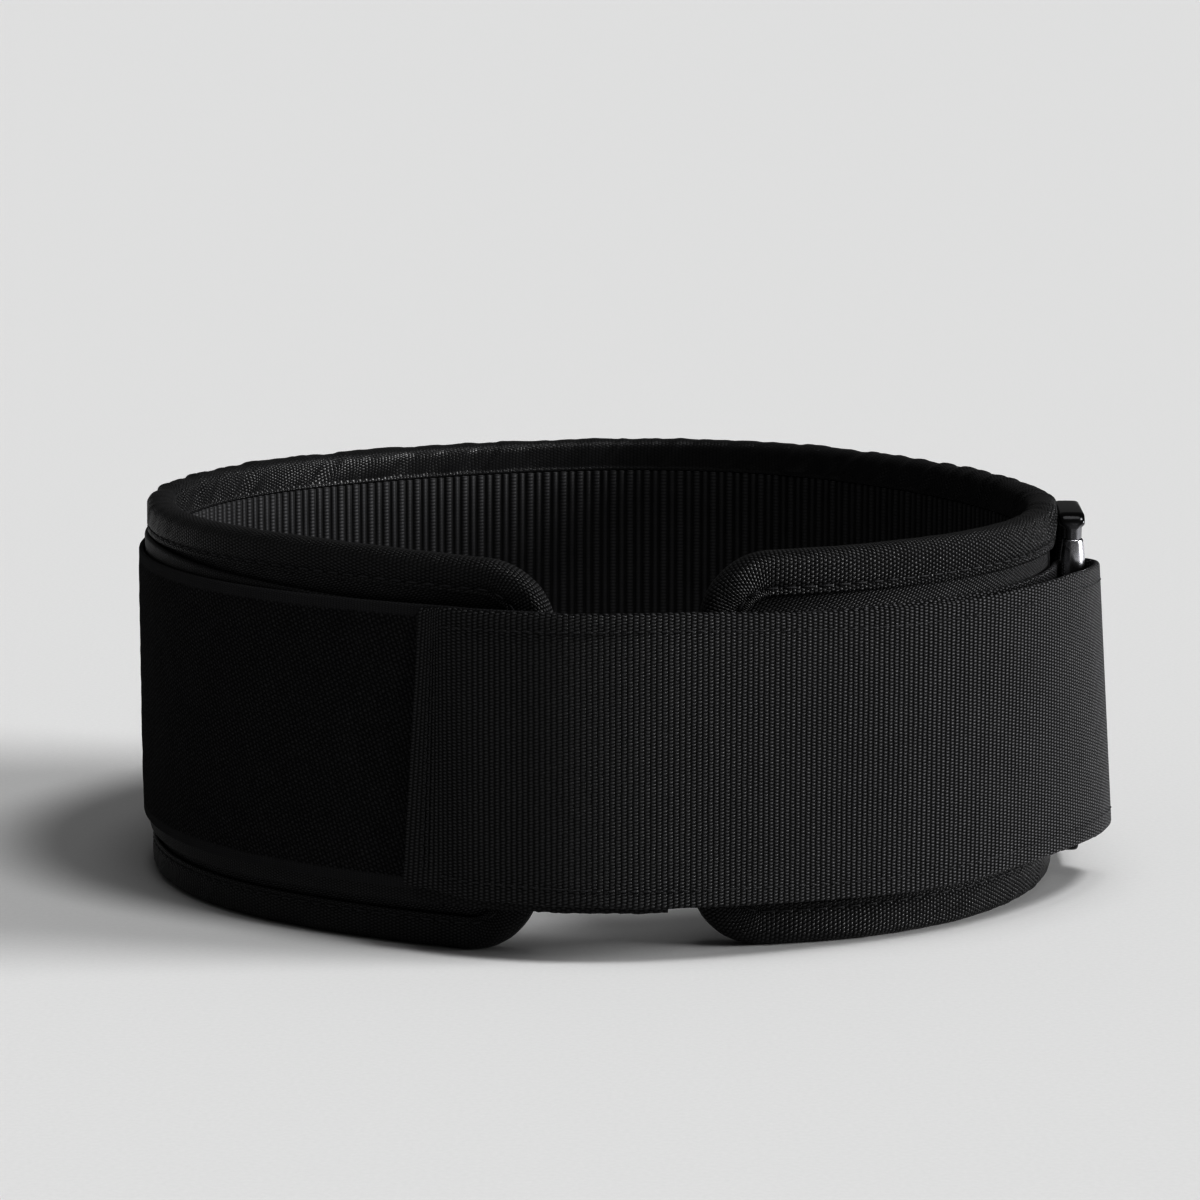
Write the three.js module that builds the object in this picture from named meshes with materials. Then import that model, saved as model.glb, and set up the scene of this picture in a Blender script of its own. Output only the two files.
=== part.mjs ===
// A weightlifting belt, fastened. A foam panel is bent into a C and bound round its edge.
// Webbing is sewn round its outside and holds a roller buckle on the right. A strap
// crosses the gap at the front, folds round the roller and closes over itself.
// Millimetres, +Z up, -Y is the front. The belt stands on its lower rim at z = 0.

import * as THREE from 'three';

// Driving dimensions of the panel
const PANEL_LENGTH = 686;
const PANEL_HEIGHT = 101.6;
const RIM_THICKNESS = 7.8;
const RIM_CORNER_RADIUS = 18;
const BINDING_WALL = 1;
const BINDING_REACH = 8.9;
const RIM_FLAT_WIDTH = 3.8;
const LINING_THICKNESS = 1.1;
const LAYER_GAP = 0.3;

// The panel's top edge comes down a little towards its two ends
const TAPER_RUN = 90;
const LEFT_TAPER = 3;
const RIGHT_TAPER = 1.5;

// Both ends slant, so that the panel reaches further to the left at its lower edge, by
// this much over its height
const LEFT_SLANT = 6.4;
const RIGHT_SLANT = 2.8;

// How the panel bends from its left end to its right end, clockwise seen from above. Each
// stretch takes its part of the length and turns by so many degrees. LEFT_HEADING is the
// panel's direction at its left end.
const LEFT_HEADING = 165.7;
const BENDS = [
  { stretch: 'left front', parts: 9, turn: 24 },
  { stretch: 'left side, front half', parts: 10, turn: 50 },
  { stretch: 'left side, back half', parts: 10, turn: 51 },
  { stretch: 'back, left half', parts: 10, turn: 27.6 },
  { stretch: 'back, right half', parts: 10, turn: 55.7 },
  { stretch: 'right side, back half', parts: 10, turn: 30.6 },
  { stretch: 'right side, front half', parts: 10, turn: 51.7 },
  { stretch: 'right front', parts: 10.6, turn: 59 },
];

// Webbing and tapes
const BASE_THICKNESS = 1.7;
const BASE_UNDER_TOP_BINDING = 0.5;
const BASE_OVER_LOW_BINDING = 2.3;
const BASE_END_INSET = 26;
const STRAP_WIDTH = 76.2;
const STRAP_THICKNESS = 1.7;
const TIP_PLACE = 35.5;
const TIP_SKEW = 3.4;
const LOOP_WIDTH = 72.8;
const LOOP_THICKNESS = 1.3;
const LOOP_BACK_PLACE = 270;
const HOOK_WIDTH = 73.2;
const HOOK_THICKNESS = 1.4;
const HOOK_LENGTH = 61.5;
const HOOK_TIP_INSET = 3;
const HOOK_DROP = 1.5;

// Buckle
const BUCKLE_PLACE = 541;
const BAR_SPACING = 24;
const BAR_DIAMETER = 4.4;
const ROLLER_DIAMETER = 7;
const ROLLER_LENGTH = 79;
const ROLLER_CLEARANCE = 0.3;
const FRAME_HEIGHT = 92.8;
const FRAME_CORNER_RADIUS = 2.6;
const RAIL_HEIGHT = 3.1;
const RAIL_WIDTH = 6.8;
const RAIL_SET_IN = 0.3;
const LUG_HEIGHT = 2.2;
const LUG_STEP = 0.4;
const BUCKLE_STANDOFF = 8.6;
const BUCKLE_RISE = 2.1;
const FOLD_BACK_LENGTH = 52;

// The strap goes loosely round the roller, and more so towards its lower edge
const FOLD_SLACK = 3.9;
const FOLD_LEAN_DEGREES = 3.7;

// Where the strap meets the right panel, and where it leaves it for the roller
const CONTACT_FROM_RIGHT_END = 79;
const LIFT_RUN = 54;
const CLIMB_LEAD = 6;

// How far the strap's curve over the gap follows each panel end, as shares of the gap
const LEFT_FOLLOW = 0.27;
const RIGHT_FOLLOW = 0.33;

// How far the loop tape reaches along the strap's inner run, as a share of the run
const LOOP_REACH = 0.42;

// How the strap's height and place vary along its outer run, from its tip to the roller.
// Each number is a share: run of the outer run's length, width and shift of the strap's
// full width.
const STRAP_COURSE = [
  { place: 'tip', run: 0, width: 0.946, shift: 0.026 },
  { place: 'over the loop tape', run: 0.1, width: 0.975, shift: 0.02 },
  { place: 'front gap', run: 0.3, width: 0.99, shift: 0.016 },
  { place: 'right front', run: 0.58, width: 0.98, shift: -0.006 },
  { place: 'right side', run: 0.85, width: 0.96, shift: 0.01 },
  { place: 'fold', run: 1, width: 0.94, shift: -0.004 },
];
const INNER_RUN_WIDTH_SHARE = 0.95;
const INNER_RUN_SHIFT_SHARE = -0.012;

// Mesh steps
const LONG_STEP = 13;
const CORNER_STEPS = 5;
const ARC_STEPS = 8;
const ROUND_SIDES = 14;

// Places across the panel's wall, measured outwards from its middle
const HALF_RIM = RIM_THICKNESS / 2;
const CORE_FACE = HALF_RIM - BINDING_WALL - LAYER_GAP;
const SEAT = CORE_FACE + LAYER_GAP;
const OVER_BINDING = HALF_RIM + LAYER_GAP;
const MIDDLE_HEIGHT = PANEL_HEIGHT / 2;
const BUCKLE_HEIGHT = MIDDLE_HEIGHT + BUCKLE_RISE;
const BASE_LOW = BINDING_REACH + BASE_OVER_LOW_BINDING;
const BASE_HIGH = PANEL_HEIGHT - BINDING_REACH - BASE_UNDER_TOP_BINDING;
const LEAN = Math.tan(THREE.MathUtils.degToRad(FOLD_LEAN_DEGREES));

const mix = (a, b, share) => a + (b - a) * share;
const smooth = (share) => THREE.MathUtils.smoothstep(share, 0, 1);
const range = (count) => Array.from({ length: count }, (_, index) => index);
const steps = (length) => Math.max(2, Math.ceil(Math.abs(length) / LONG_STEP));

// The panel's plan: a chain of tangent arcs. Past either end it runs on straight.
function alongArc(arc, distance) {
  const heading = arc.heading - arc.curvature * distance;
  if (arc.curvature === 0) {
    const { x, y } = arc;
    return { x: x + Math.cos(heading) * distance, y: y + Math.sin(heading) * distance, heading };
  }
  return {
    x: arc.x + (Math.sin(arc.heading) - Math.sin(heading)) / arc.curvature,
    y: arc.y + (Math.cos(heading) - Math.cos(arc.heading)) / arc.curvature,
    heading,
  };
}

const allParts = BENDS.reduce((sum, { parts }) => sum + parts, 0);
const arcs = [];
let joint = { x: 0, y: 0, heading: THREE.MathUtils.degToRad(LEFT_HEADING), from: 0 };
arcs.push({ ...joint, curvature: 0 });
for (const { parts, turn } of BENDS) {
  const length = (PANEL_LENGTH * parts) / allParts;
  const arc = { ...joint, curvature: THREE.MathUtils.degToRad(turn) / length };
  arcs.push(arc);
  joint = { ...alongArc(arc, length), from: joint.from + length };
}
arcs.push({ ...joint, curvature: 0 });

function planAt(place) {
  const arc = place < 0 ? arcs[0] : arcs.findLast(({ from }) => from <= place + 1e-9);
  return alongArc(arc, place - arc.from);
}

// A point beside the panel's middle: place runs along it, out is measured outwards
function beside(place, out) {
  const { x, y, heading } = planAt(place);
  return new THREE.Vector2(x - Math.sin(heading) * out, y + Math.cos(heading) * out);
}

// Six times the volume that the triangles close, negative when they face inwards
function signedVolume(positions, indices) {
  const corner = (index) => new THREE.Vector3().fromArray(positions, 3 * index);
  return range(indices.length / 3).reduce((sum, face) => {
    const [a, b, c] = [0, 1, 2].map((step) => corner(indices[3 * face + step]));
    return sum + a.dot(b.cross(c));
  }, 0);
}

function toMesh(name, positions, indices, material) {
  if (signedVolume(positions, indices) < 0) indices.reverse();
  const geometry = new THREE.BufferGeometry();
  geometry.setAttribute('position', new THREE.Float32BufferAttribute(positions, 3));
  geometry.setIndex(indices);
  geometry.computeVertexNormals();
  const mesh = new THREE.Mesh(geometry, material);
  mesh.name = name;
  return mesh;
}

// Joins closed sections, each a ring of points in the same order, into one solid. The
// sections run on in a ring of their own when closed is set, and are capped otherwise.
function loft(name, sections, material, closed = false) {
  const sides = sections[0].length;
  const positions = sections.flat().flatMap((point) => point.toArray());
  const indices = [];
  const spans = closed ? sections.length : sections.length - 1;
  for (const span of range(spans)) {
    const here = span * sides;
    const next = ((span + 1) % sections.length) * sides;
    for (const side of range(sides)) {
      const other = (side + 1) % sides;
      indices.push(here + side, next + side, here + other);
      indices.push(here + other, next + side, next + other);
    }
  }
  if (!closed) {
    const last = (sections.length - 1) * sides;
    for (const side of range(sides - 2)) {
      indices.push(0, side + 1, side + 2);
      indices.push(last, last + side + 2, last + side + 1);
    }
  }
  return toMesh(name, positions, indices, material);
}

// How near a place is to either end of the panel, from 0 in its middle to 1 at the end
function nearLeft(place) {
  return THREE.MathUtils.clamp(1 - place / TAPER_RUN, 0, 1) ** 2;
}

function nearRight(place) {
  return THREE.MathUtils.clamp(1 - (PANEL_LENGTH - place) / TAPER_RUN, 0, 1) ** 2;
}

// A height on the panel, brought down where the panel tapers
function squeezed(place, height) {
  const taper = LEFT_TAPER * nearLeft(place) + RIGHT_TAPER * nearRight(place);
  return height * (1 - taper / PANEL_HEIGHT);
}

function onPanel(place, out, height) {
  const slant = LEFT_SLANT * nearLeft(place) + RIGHT_SLANT * nearRight(place);
  const point = beside(place + slant * (0.5 - height / PANEL_HEIGHT), out);
  return new THREE.Vector3(point.x, point.y, squeezed(place, height));
}

// How far the edge of a layer stands in from the panel's full height, for a layer whose
// outline lies inset from the rim
function edgeAt(place, inset, radius) {
  const fromEnd = Math.min(place, PANEL_LENGTH - place) - inset;
  const short = Math.max(0, radius - fromEnd);
  return inset + radius - Math.sqrt(Math.max(0, radius ** 2 - short ** 2));
}

// Places along a layer from end to end, close together in its rounded corners
function panelPlaces(inset, radius) {
  const corner = range(CORNER_STEPS + 1).map((step) => {
    const angle = (Math.PI / 2) * (step / CORNER_STEPS);
    return inset + radius * (1 - Math.cos(angle));
  });
  const span = PANEL_LENGTH - 2 * (inset + radius);
  const count = steps(span);
  const middle = range(count - 1).map((step) => inset + radius + (span * (step + 1)) / count);
  return [...corner, ...middle, ...corner.map((place) => PANEL_LENGTH - place).reverse()];
}

// A flat layer of the panel with rounded corners, between two faces
function panelLayer(name, inset, inner, outer, material) {
  const radius = RIM_CORNER_RADIUS - inset;
  const sections = panelPlaces(inset, radius).map((place) => {
    const low = edgeAt(place, inset, radius);
    const high = PANEL_HEIGHT - low;
    return [
      onPanel(place, inner, low),
      onPanel(place, inner, high),
      onPanel(place, outer, high),
      onPanel(place, outer, low),
    ];
  });
  return loft(name, sections, material);
}

// The rim's outline in the unrolled panel: places, heights and the way in from the edge
function rimStations() {
  const radius = RIM_CORNER_RADIUS;
  const span = PANEL_LENGTH - 2 * radius;
  const count = steps(span);
  const edge = (low) =>
    range(count + 1).map((step) => {
      const share = step / count;
      return {
        place: radius + span * (low ? share : 1 - share),
        height: low ? 0 : PANEL_HEIGHT,
        inPlace: 0,
        inHeight: low ? 1 : -1,
      };
    });
  const corner = (right, low) =>
    range(CORNER_STEPS).map((step) => {
      const turned = (step + (right === low ? 1 : 0)) / CORNER_STEPS;
      const angle = (Math.PI / 2) * (right === low ? turned : 1 - turned);
      const inPlace = (right ? -1 : 1) * Math.sin(angle);
      const inHeight = (low ? 1 : -1) * Math.cos(angle);
      return {
        place: (right ? PANEL_LENGTH - radius : radius) - inPlace * radius,
        height: (low ? radius : PANEL_HEIGHT - radius) - inHeight * radius,
        inPlace,
        inHeight,
      };
    });
  return [
    ...edge(true),
    ...corner(true, true),
    ...corner(true, false),
    ...edge(false),
    ...corner(false, false),
    ...corner(false, true),
  ];
}

// The binding's section: a folded tape with a rounded back, open towards the panel. Its
// back goes through these points, as shares of half the rim's thickness.
const BINDING_BACK = [
  { point: 'side', out: 1, depth: 0.75 },
  { point: 'shoulder', out: 0.85, depth: 0.3 },
];

function bindingSection() {
  const flat = RIM_FLAT_WIDTH / 2;
  const hollow = HALF_RIM - BINDING_WALL;
  const back = BINDING_BACK.map(({ out, depth }) => ({
    out: out * HALF_RIM,
    depth: depth * HALF_RIM,
  }));
  return [
    { out: -HALF_RIM, depth: BINDING_REACH },
    ...back.map(({ out, depth }) => ({ out: -out, depth })),
    { out: -flat, depth: 0 },
    { out: flat, depth: 0 },
    ...back.toReversed(),
    { out: HALF_RIM, depth: BINDING_REACH },
    { out: hollow, depth: BINDING_REACH },
    { out: hollow, depth: BINDING_WALL },
    { out: -hollow, depth: BINDING_WALL },
    { out: -hollow, depth: BINDING_REACH },
  ];
}

function edgeBinding(material) {
  const section = bindingSection();
  const sections = rimStations().map(({ place, height, inPlace, inHeight }) =>
    section.map(({ out, depth }) =>
      onPanel(place + inPlace * depth, out, height + inHeight * depth),
    ),
  );
  return loft('edge_binding', sections, material, true);
}

// The buckle's two upright bars, beside the panel
const rollerCentre = beside(BUCKLE_PLACE + BAR_SPACING / 2, BUCKLE_STANDOFF);
const fixedCentre = beside(BUCKLE_PLACE - BAR_SPACING / 2, BUCKLE_STANDOFF);
const frameForward = rollerCentre.clone().sub(fixedCentre).normalize();
const frameOutward = new THREE.Vector2(-frameForward.y, frameForward.x);

// A point of the strap where it leans outwards at its lower edge
function leaned(point, height, share) {
  const shift = (BUCKLE_HEIGHT - height) * LEAN * share;
  return new THREE.Vector3(
    point.x + frameOutward.x * shift,
    point.y + frameOutward.y * shift,
    height,
  );
}

// A half turn round a bar, from its inner side past its free side to its outer side.
// forward is 1 when the free side faces the front, and -1 when it faces the back. slack
// is how much further out than the bar needs the outer side lies.
function halfTurn(centre, radius, forward, slack = 0) {
  return range(ARC_STEPS + 1).map((step) => {
    const angle = Math.PI * (step / ARC_STEPS);
    const share = (1 - Math.cos(angle)) / 2;
    const point = centre
      .clone()
      .addScaledVector(frameOutward, slack * share - radius * Math.cos(angle))
      .addScaledVector(frameForward, forward * (radius + slack / 2) * Math.sin(angle));
    return { point, share };
  });
}

// A strip of webbing or tape whose middle follows a line of stations seen from above.
// Each station holds a point, its low and high edges, and how much it leans.
function strip(name, stations, thickness, material) {
  const sections = stations.map((station, index) => {
    const before = stations[Math.max(0, index - 1)].point;
    const after = stations[Math.min(stations.length - 1, index + 1)].point;
    const along = after.clone().sub(before).normalize();
    const across = new THREE.Vector2(-along.y, along.x).multiplyScalar(thickness / 2);
    const near = station.point.clone().sub(across);
    const far = station.point.clone().add(across);
    const lean = station.lean ?? 0;
    const slip = along.clone().multiplyScalar(station.slip ?? 0);
    return [
      leaned(near, station.low, lean),
      leaned(near.clone().add(slip), station.high, lean),
      leaned(far.clone().add(slip), station.high, lean),
      leaned(far, station.low, lean),
    ];
  });
  return loft(name, sections, material);
}

const edgesAbout = (middle, width) => ({ low: middle - width / 2, high: middle + width / 2 });

// The base webbing: round the outside, round the fixed bar and back over itself
function baseWebbing(material) {
  const edges = { low: BASE_LOW, high: BASE_HIGH };
  const middle = SEAT + BASE_THICKNESS / 2;
  const radius = BAR_DIAMETER / 2 + ROLLER_CLEARANCE + BASE_THICKNESS / 2;
  const barPlace = BUCKLE_PLACE - BAR_SPACING / 2;
  const liftPlace = barPlace - LIFT_RUN;
  const panelRun = liftPlace - BASE_END_INSET;
  const stations = range(steps(panelRun)).map((step) => {
    const place = BASE_END_INSET + (panelRun * step) / steps(panelRun);
    return {
      point: beside(place, middle),
      low: squeezed(place, edges.low),
      high: squeezed(place, edges.high),
    };
  });
  const leg = (share, seated, raised) => ({
    point: beside(mix(liftPlace, barPlace, share), mix(seated, raised, smooth(share))),
    ...edges,
  });
  const legShares = range(ARC_STEPS).map((step) => step / ARC_STEPS);
  const sewn = middle + BASE_THICKNESS + LAYER_GAP;
  stations.push(...legShares.map((share) => leg(share, middle, BUCKLE_STANDOFF - radius)));
  stations.push(...halfTurn(fixedCentre, radius, 1).map(({ point }) => ({ point, ...edges })));
  stations.push(...legShares.map((share) => leg(share, sewn, BUCKLE_STANDOFF + radius)).reverse());
  const backRun = FOLD_BACK_LENGTH;
  stations.push(
    ...range(steps(backRun)).map((step) => ({
      point: beside(liftPlace - (backRun * (step + 1)) / steps(backRun), sewn),
      ...edges,
    })),
  );
  return strip('base_webbing', stations, BASE_THICKNESS, material);
}

// The line that the strap's inner run, the tapes and the outer run all follow: on the
// base webbing's level at the left, over the panel's left end, across the gap and along
// the right panel to the roller. out is measured from the inner run's inner face.
const contactPlace = PANEL_LENGTH - CONTACT_FROM_RIGHT_END;
const rollerPlace = BUCKLE_PLACE + BAR_SPACING / 2;
const turnRadius = ROLLER_DIAMETER / 2 + ROLLER_CLEARANCE + STRAP_THICKNESS / 2;
const innerAtRoller = BUCKLE_STANDOFF - turnRadius - STRAP_THICKNESS / 2;

function seatOverEnd(place) {
  const climbed = (BASE_END_INSET - place) / (BASE_END_INSET - BINDING_REACH - CLIMB_LEAD);
  return mix(SEAT, OVER_BINDING, smooth(THREE.MathUtils.clamp(climbed, 0, 1)));
}

function seatBeforeRoller(place) {
  const share = THREE.MathUtils.clamp((rollerPlace + LIFT_RUN - place) / LIFT_RUN, 0, 1);
  return mix(SEAT, innerAtRoller, smooth(share));
}

function headingTowardsRight(place) {
  const { heading } = planAt(place);
  return new THREE.Vector2(-Math.cos(heading), -Math.sin(heading));
}

// Returns a function from distance past the panel's left end to a station of the line
function frontLine() {
  const start = beside(0, OVER_BINDING);
  const finish = beside(contactPlace, seatBeforeRoller(contactPlace));
  const reach = start.distanceTo(finish);
  const bridge = new THREE.CubicBezierCurve(
    start,
    start.clone().addScaledVector(headingTowardsRight(0), reach * LEFT_FOLLOW),
    finish.clone().addScaledVector(headingTowardsRight(contactPlace), -reach * RIGHT_FOLLOW),
    finish,
  );
  const bridgeLength = bridge.getLength();
  const total = bridgeLength + (contactPlace - rollerPlace);
  const at = (distance, out) => {
    if (distance <= 0) return beside(-distance, seatOverEnd(-distance) + out);
    if (distance < bridgeLength) {
      const share = distance / bridgeLength;
      const point = bridge.getPointAt(share);
      const along = bridge.getTangentAt(share);
      return new THREE.Vector2(point.x + along.y * out, point.y - along.x * out);
    }
    const place = contactPlace - (distance - bridgeLength);
    return beside(place, seatBeforeRoller(place) + out);
  };
  const leanAt = (distance) => smooth(
    THREE.MathUtils.clamp((distance - total + LIFT_RUN) / LIFT_RUN, 0, 1),
  );
  return { at, leanAt, total };
}

const line = frontLine();
const loopLevel = STRAP_THICKNESS + LAYER_GAP;
const hookLevel = loopLevel + LOOP_THICKNESS + LAYER_GAP;
const outerLevel = hookLevel + HOOK_THICKNESS + LAYER_GAP;
const outerAtRoller = 2 * turnRadius + FOLD_SLACK;
const loopEnd = line.total * LOOP_REACH;

function outerLevelAt(distance) {
  const share = THREE.MathUtils.clamp((distance - loopEnd) / (line.total - loopEnd), 0, 1);
  return mix(outerLevel, outerAtRoller, share);
}

// The strap's edges at a share of its outer run
function strapEdges(share) {
  const next = Math.max(1, STRAP_COURSE.findIndex(({ run }) => run >= share));
  const from = STRAP_COURSE[next - 1];
  const to = STRAP_COURSE[next];
  const blend = smooth((share - from.run) / (to.run - from.run));
  const width = STRAP_WIDTH * mix(from.width, to.width, blend);
  const middle = MIDDLE_HEIGHT + STRAP_WIDTH * mix(from.shift, to.shift, blend);
  return edgesAbout(middle, width);
}

function closingStrap(material) {
  const half = STRAP_THICKNESS / 2;
  const innerEdges = edgesAbout(
    MIDDLE_HEIGHT + STRAP_WIDTH * INNER_RUN_SHIFT_SHARE,
    STRAP_WIDTH * INNER_RUN_WIDTH_SHARE,
  );
  const start = -(BASE_END_INSET - LAYER_GAP);
  const innerRun = line.total - start;
  const innerCount = 2 * steps(innerRun);
  const stations = range(innerCount).map((step) => {
    const distance = start + (innerRun * step) / innerCount;
    return { point: line.at(distance, half), ...innerEdges };
  });
  const foldEdges = strapEdges(1);
  stations.push(
    ...halfTurn(rollerCentre, turnRadius, -1, FOLD_SLACK).map(({ point, share }) => ({
      point,
      lean: share,
      low: mix(innerEdges.low, foldEdges.low, share),
      high: mix(innerEdges.high, foldEdges.high, share),
    })),
  );
  const outerRun = line.total + TIP_PLACE;
  const outerCount = 2 * steps(outerRun);
  stations.push(
    ...range(outerCount).map((step) => {
      const share = 1 - (step + 1) / outerCount;
      const distance = -TIP_PLACE + outerRun * share;
      return {
        point: line.at(distance, outerLevelAt(distance) + half),
        lean: line.leanAt(distance),
        slip: -TIP_SKEW * (step + 1 === outerCount ? 1 : 0),
        ...strapEdges(share),
      };
    }),
  );
  return strip('closing_strap', stations, STRAP_THICKNESS, material);
}

// A tape that follows the front line at one level
function tapeAlong(name, from, to, level, thickness, edges, material) {
  const count = 2 * steps(to - from);
  const stations = range(count + 1).map((step) => {
    const distance = mix(from, to, step / count);
    return { point: line.at(distance, level + thickness / 2), ...edges };
  });
  return strip(name, stations, thickness, material);
}

function loopTape(material) {
  const edges = edgesAbout((BASE_LOW + BASE_HIGH) / 2, LOOP_WIDTH);
  return tapeAlong(
    'loop_tape', -LOOP_BACK_PLACE, loopEnd, loopLevel, LOOP_THICKNESS, edges, material,
  );
}

function hookTape(material) {
  const from = -TIP_PLACE + HOOK_TIP_INSET;
  const overGap = STRAP_COURSE.find(({ place }) => place === 'front gap');
  const low = strapEdges(overGap.run).low - HOOK_DROP;
  const edges = { low, high: low + HOOK_WIDTH };
  return tapeAlong(
    'hook_tape', from, from + HOOK_LENGTH, hookLevel, HOOK_THICKNESS, edges, material,
  );
}

// The buckle's frame: two round upright bars between two wider flat rails, in one ring.
// At the back bar the upper rail ends in a short flat lug, above the webbing.
function buckleFrame(material) {
  const tall = (FRAME_HEIGHT - RAIL_HEIGHT) / 2;
  const wide = rollerCentre.distanceTo(fixedCentre) / 2;
  const middle = rollerCentre.clone().add(fixedCentre).multiplyScalar(0.5);
  const corners = [
    { side: 1, up: 1, from: 0 },
    { side: -1, up: 1, from: 1 },
    { side: -1, up: -1, from: 2 },
    { side: 1, up: -1, from: 3 },
  ];
  const lugEnd = tall - FRAME_CORNER_RADIUS - LUG_HEIGHT;
  const lug = [
    { height: lugEnd, rail: 1 },
    { height: lugEnd - LUG_STEP, rail: 0 },
  ].map((end) => ({ forward: -wide, angle: Math.PI, ...end }));
  const path = corners.flatMap(({ side, up, from }) => {
    const lugged = side < 0 && up > 0;
    const corner = range(CORNER_STEPS + 1).map((step) => {
      const angle = (Math.PI / 2) * (from + step / CORNER_STEPS);
      return {
        forward: side * (wide - FRAME_CORNER_RADIUS) + FRAME_CORNER_RADIUS * Math.cos(angle),
        height: up * (tall - FRAME_CORNER_RADIUS) + FRAME_CORNER_RADIUS * Math.sin(angle),
        angle,
        rail: lugged ? 1 : smooth(Math.min(1, 2 * Math.abs(Math.sin(angle)))),
      };
    });
    return lugged ? [...corner, ...lug] : corner;
  });
  const sections = path.map(({ forward, height, angle, rail }) => {
    const thick = mix(BAR_DIAMETER, RAIL_HEIGHT, rail) / 2;
    const broad = mix(BAR_DIAMETER, RAIL_WIDTH, rail) / 2;
    const setIn = RAIL_SET_IN * rail;
    return range(ROUND_SIDES).map((side) => {
      const around = (2 * Math.PI * side) / ROUND_SIDES;
      const away = thick * Math.cos(around);
      const point = middle
        .clone()
        .addScaledVector(frameForward, forward + away * Math.cos(angle))
        .addScaledVector(frameOutward, broad * Math.sin(around) - setIn);
      return new THREE.Vector3(
        point.x,
        point.y,
        BUCKLE_HEIGHT + height + away * Math.sin(angle),
      );
    });
  });
  return loft('buckle_frame', sections, material, true);
}

// The roller: a thin tube round the frame's front bar
function buckleRoller(material) {
  const bore = BAR_DIAMETER / 2 + ROLLER_CLEARANCE;
  const half = ROLLER_LENGTH / 2;
  const ring = [
    { radius: ROLLER_DIAMETER / 2, height: -half },
    { radius: ROLLER_DIAMETER / 2, height: half },
    { radius: bore, height: half },
    { radius: bore, height: -half },
  ];
  const sections = range(ROUND_SIDES).map((side) => {
    const around = (2 * Math.PI * side) / ROUND_SIDES;
    return ring.map(({ radius, height }) => {
      const point = rollerCentre
        .clone()
        .addScaledVector(frameForward, radius * Math.cos(around))
        .addScaledVector(frameOutward, radius * Math.sin(around));
      return new THREE.Vector3(point.x, point.y, BUCKLE_HEIGHT + height);
    });
  });
  return loft('buckle_roller', sections, material, true);
}

// Finishes
const finish = (color, roughness, metalness = 0) =>
  new THREE.MeshStandardMaterial({ color, roughness, metalness });
const coverCloth = finish(0x17171a, 0.85);
const liningCloth = finish(0x131315, 0.9);
const webbing = finish(0x1d1d20, 0.75);
const pile = finish(0x0c0c0e, 1);
const hooks = finish(0x101012, 0.8);
const darkMetal = finish(0x24252a, 0.2, 1);
const brightMetal = finish(0xc9cbd0, 0.12, 1);

const belt = new THREE.Group();
belt.add(panelLayer('panel_core', BINDING_WALL + LAYER_GAP, -CORE_FACE, CORE_FACE, coverCloth));
belt.add(
  panelLayer('inner_lining', BINDING_REACH + LAYER_GAP, -SEAT - LINING_THICKNESS, -SEAT, liningCloth),
);
belt.add(edgeBinding(coverCloth));
belt.add(baseWebbing(webbing));
belt.add(loopTape(pile));
belt.add(closingStrap(webbing));
belt.add(hookTape(hooks));
belt.add(buckleFrame(darkMetal));
belt.add(buckleRoller(brightMetal));

// The origin is below the middle of the belt's box
const box = new THREE.Box3().setFromObject(belt);
const centre = box.getCenter(new THREE.Vector3());
belt.position.set(-centre.x, -centre.y, -box.min.z);

export default belt;
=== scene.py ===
"""Looks of a fastened weightlifting belt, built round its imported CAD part.

Sizes are in millimetres, and become metres where a mesh is made. +Z is up and the front
is -Y. The panel is unrolled: "place" runs along it from its left end, "out" is measured
outwards from the middle of its wall, and heights start at the lower rim.
"""

import logging
import math
from dataclasses import dataclass, field
from enum import Enum

import bpy
import numpy as np
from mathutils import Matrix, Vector


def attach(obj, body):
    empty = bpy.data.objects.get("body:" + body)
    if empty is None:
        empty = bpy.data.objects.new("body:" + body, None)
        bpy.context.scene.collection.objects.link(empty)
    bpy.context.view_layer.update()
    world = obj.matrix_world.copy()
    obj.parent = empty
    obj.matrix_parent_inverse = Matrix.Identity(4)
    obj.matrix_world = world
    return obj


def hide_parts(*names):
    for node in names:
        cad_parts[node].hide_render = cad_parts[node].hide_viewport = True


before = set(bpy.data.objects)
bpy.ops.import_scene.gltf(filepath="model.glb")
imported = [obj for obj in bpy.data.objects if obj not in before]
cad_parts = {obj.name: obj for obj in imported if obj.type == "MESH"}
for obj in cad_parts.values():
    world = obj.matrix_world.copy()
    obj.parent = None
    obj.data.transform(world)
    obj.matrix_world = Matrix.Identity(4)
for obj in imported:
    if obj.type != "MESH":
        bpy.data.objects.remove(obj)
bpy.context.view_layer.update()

MM = 0.001
TINY = 1e-9
Array = np.ndarray
Pair = tuple[float, float]
Color = tuple[float, float, float]
Wave = tuple[float, float, int]
Rows = tuple[tuple[float, float, float], ...]
log = logging.getLogger("belt")


def smooth(share: Array) -> Array:
    """Returns 0 to 1 with a soft start and end for a share from 0 to 1."""
    share = np.clip(share, 0.0, 1.0)
    return share * share * (3.0 - 2.0 * share)


def ramp(values: Array, start: float, end: float) -> Array:
    """Returns 0 at the start and 1 at the end, with a soft change between them."""
    return smooth((values - start) / (end - start))


def loose(run: Array, grain: float, seed: int) -> Array:
    """Soft random values from -1 to 1 along a run.

    Args:
        run: distances in millimetres.
        grain: the distance between two random values.
        seed: the seed of the values.

    Returns:
        A value for each distance.
    """
    count, lead = 4096, 1024.0
    values = np.random.default_rng(seed).uniform(-1.0, 1.0, count)
    step = np.asarray(run, float) / grain + lead
    low = np.floor(step).astype(int)
    share = smooth(step - low)
    return values[low % count] * (1.0 - share) + values[(low + 1) % count] * share


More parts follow.
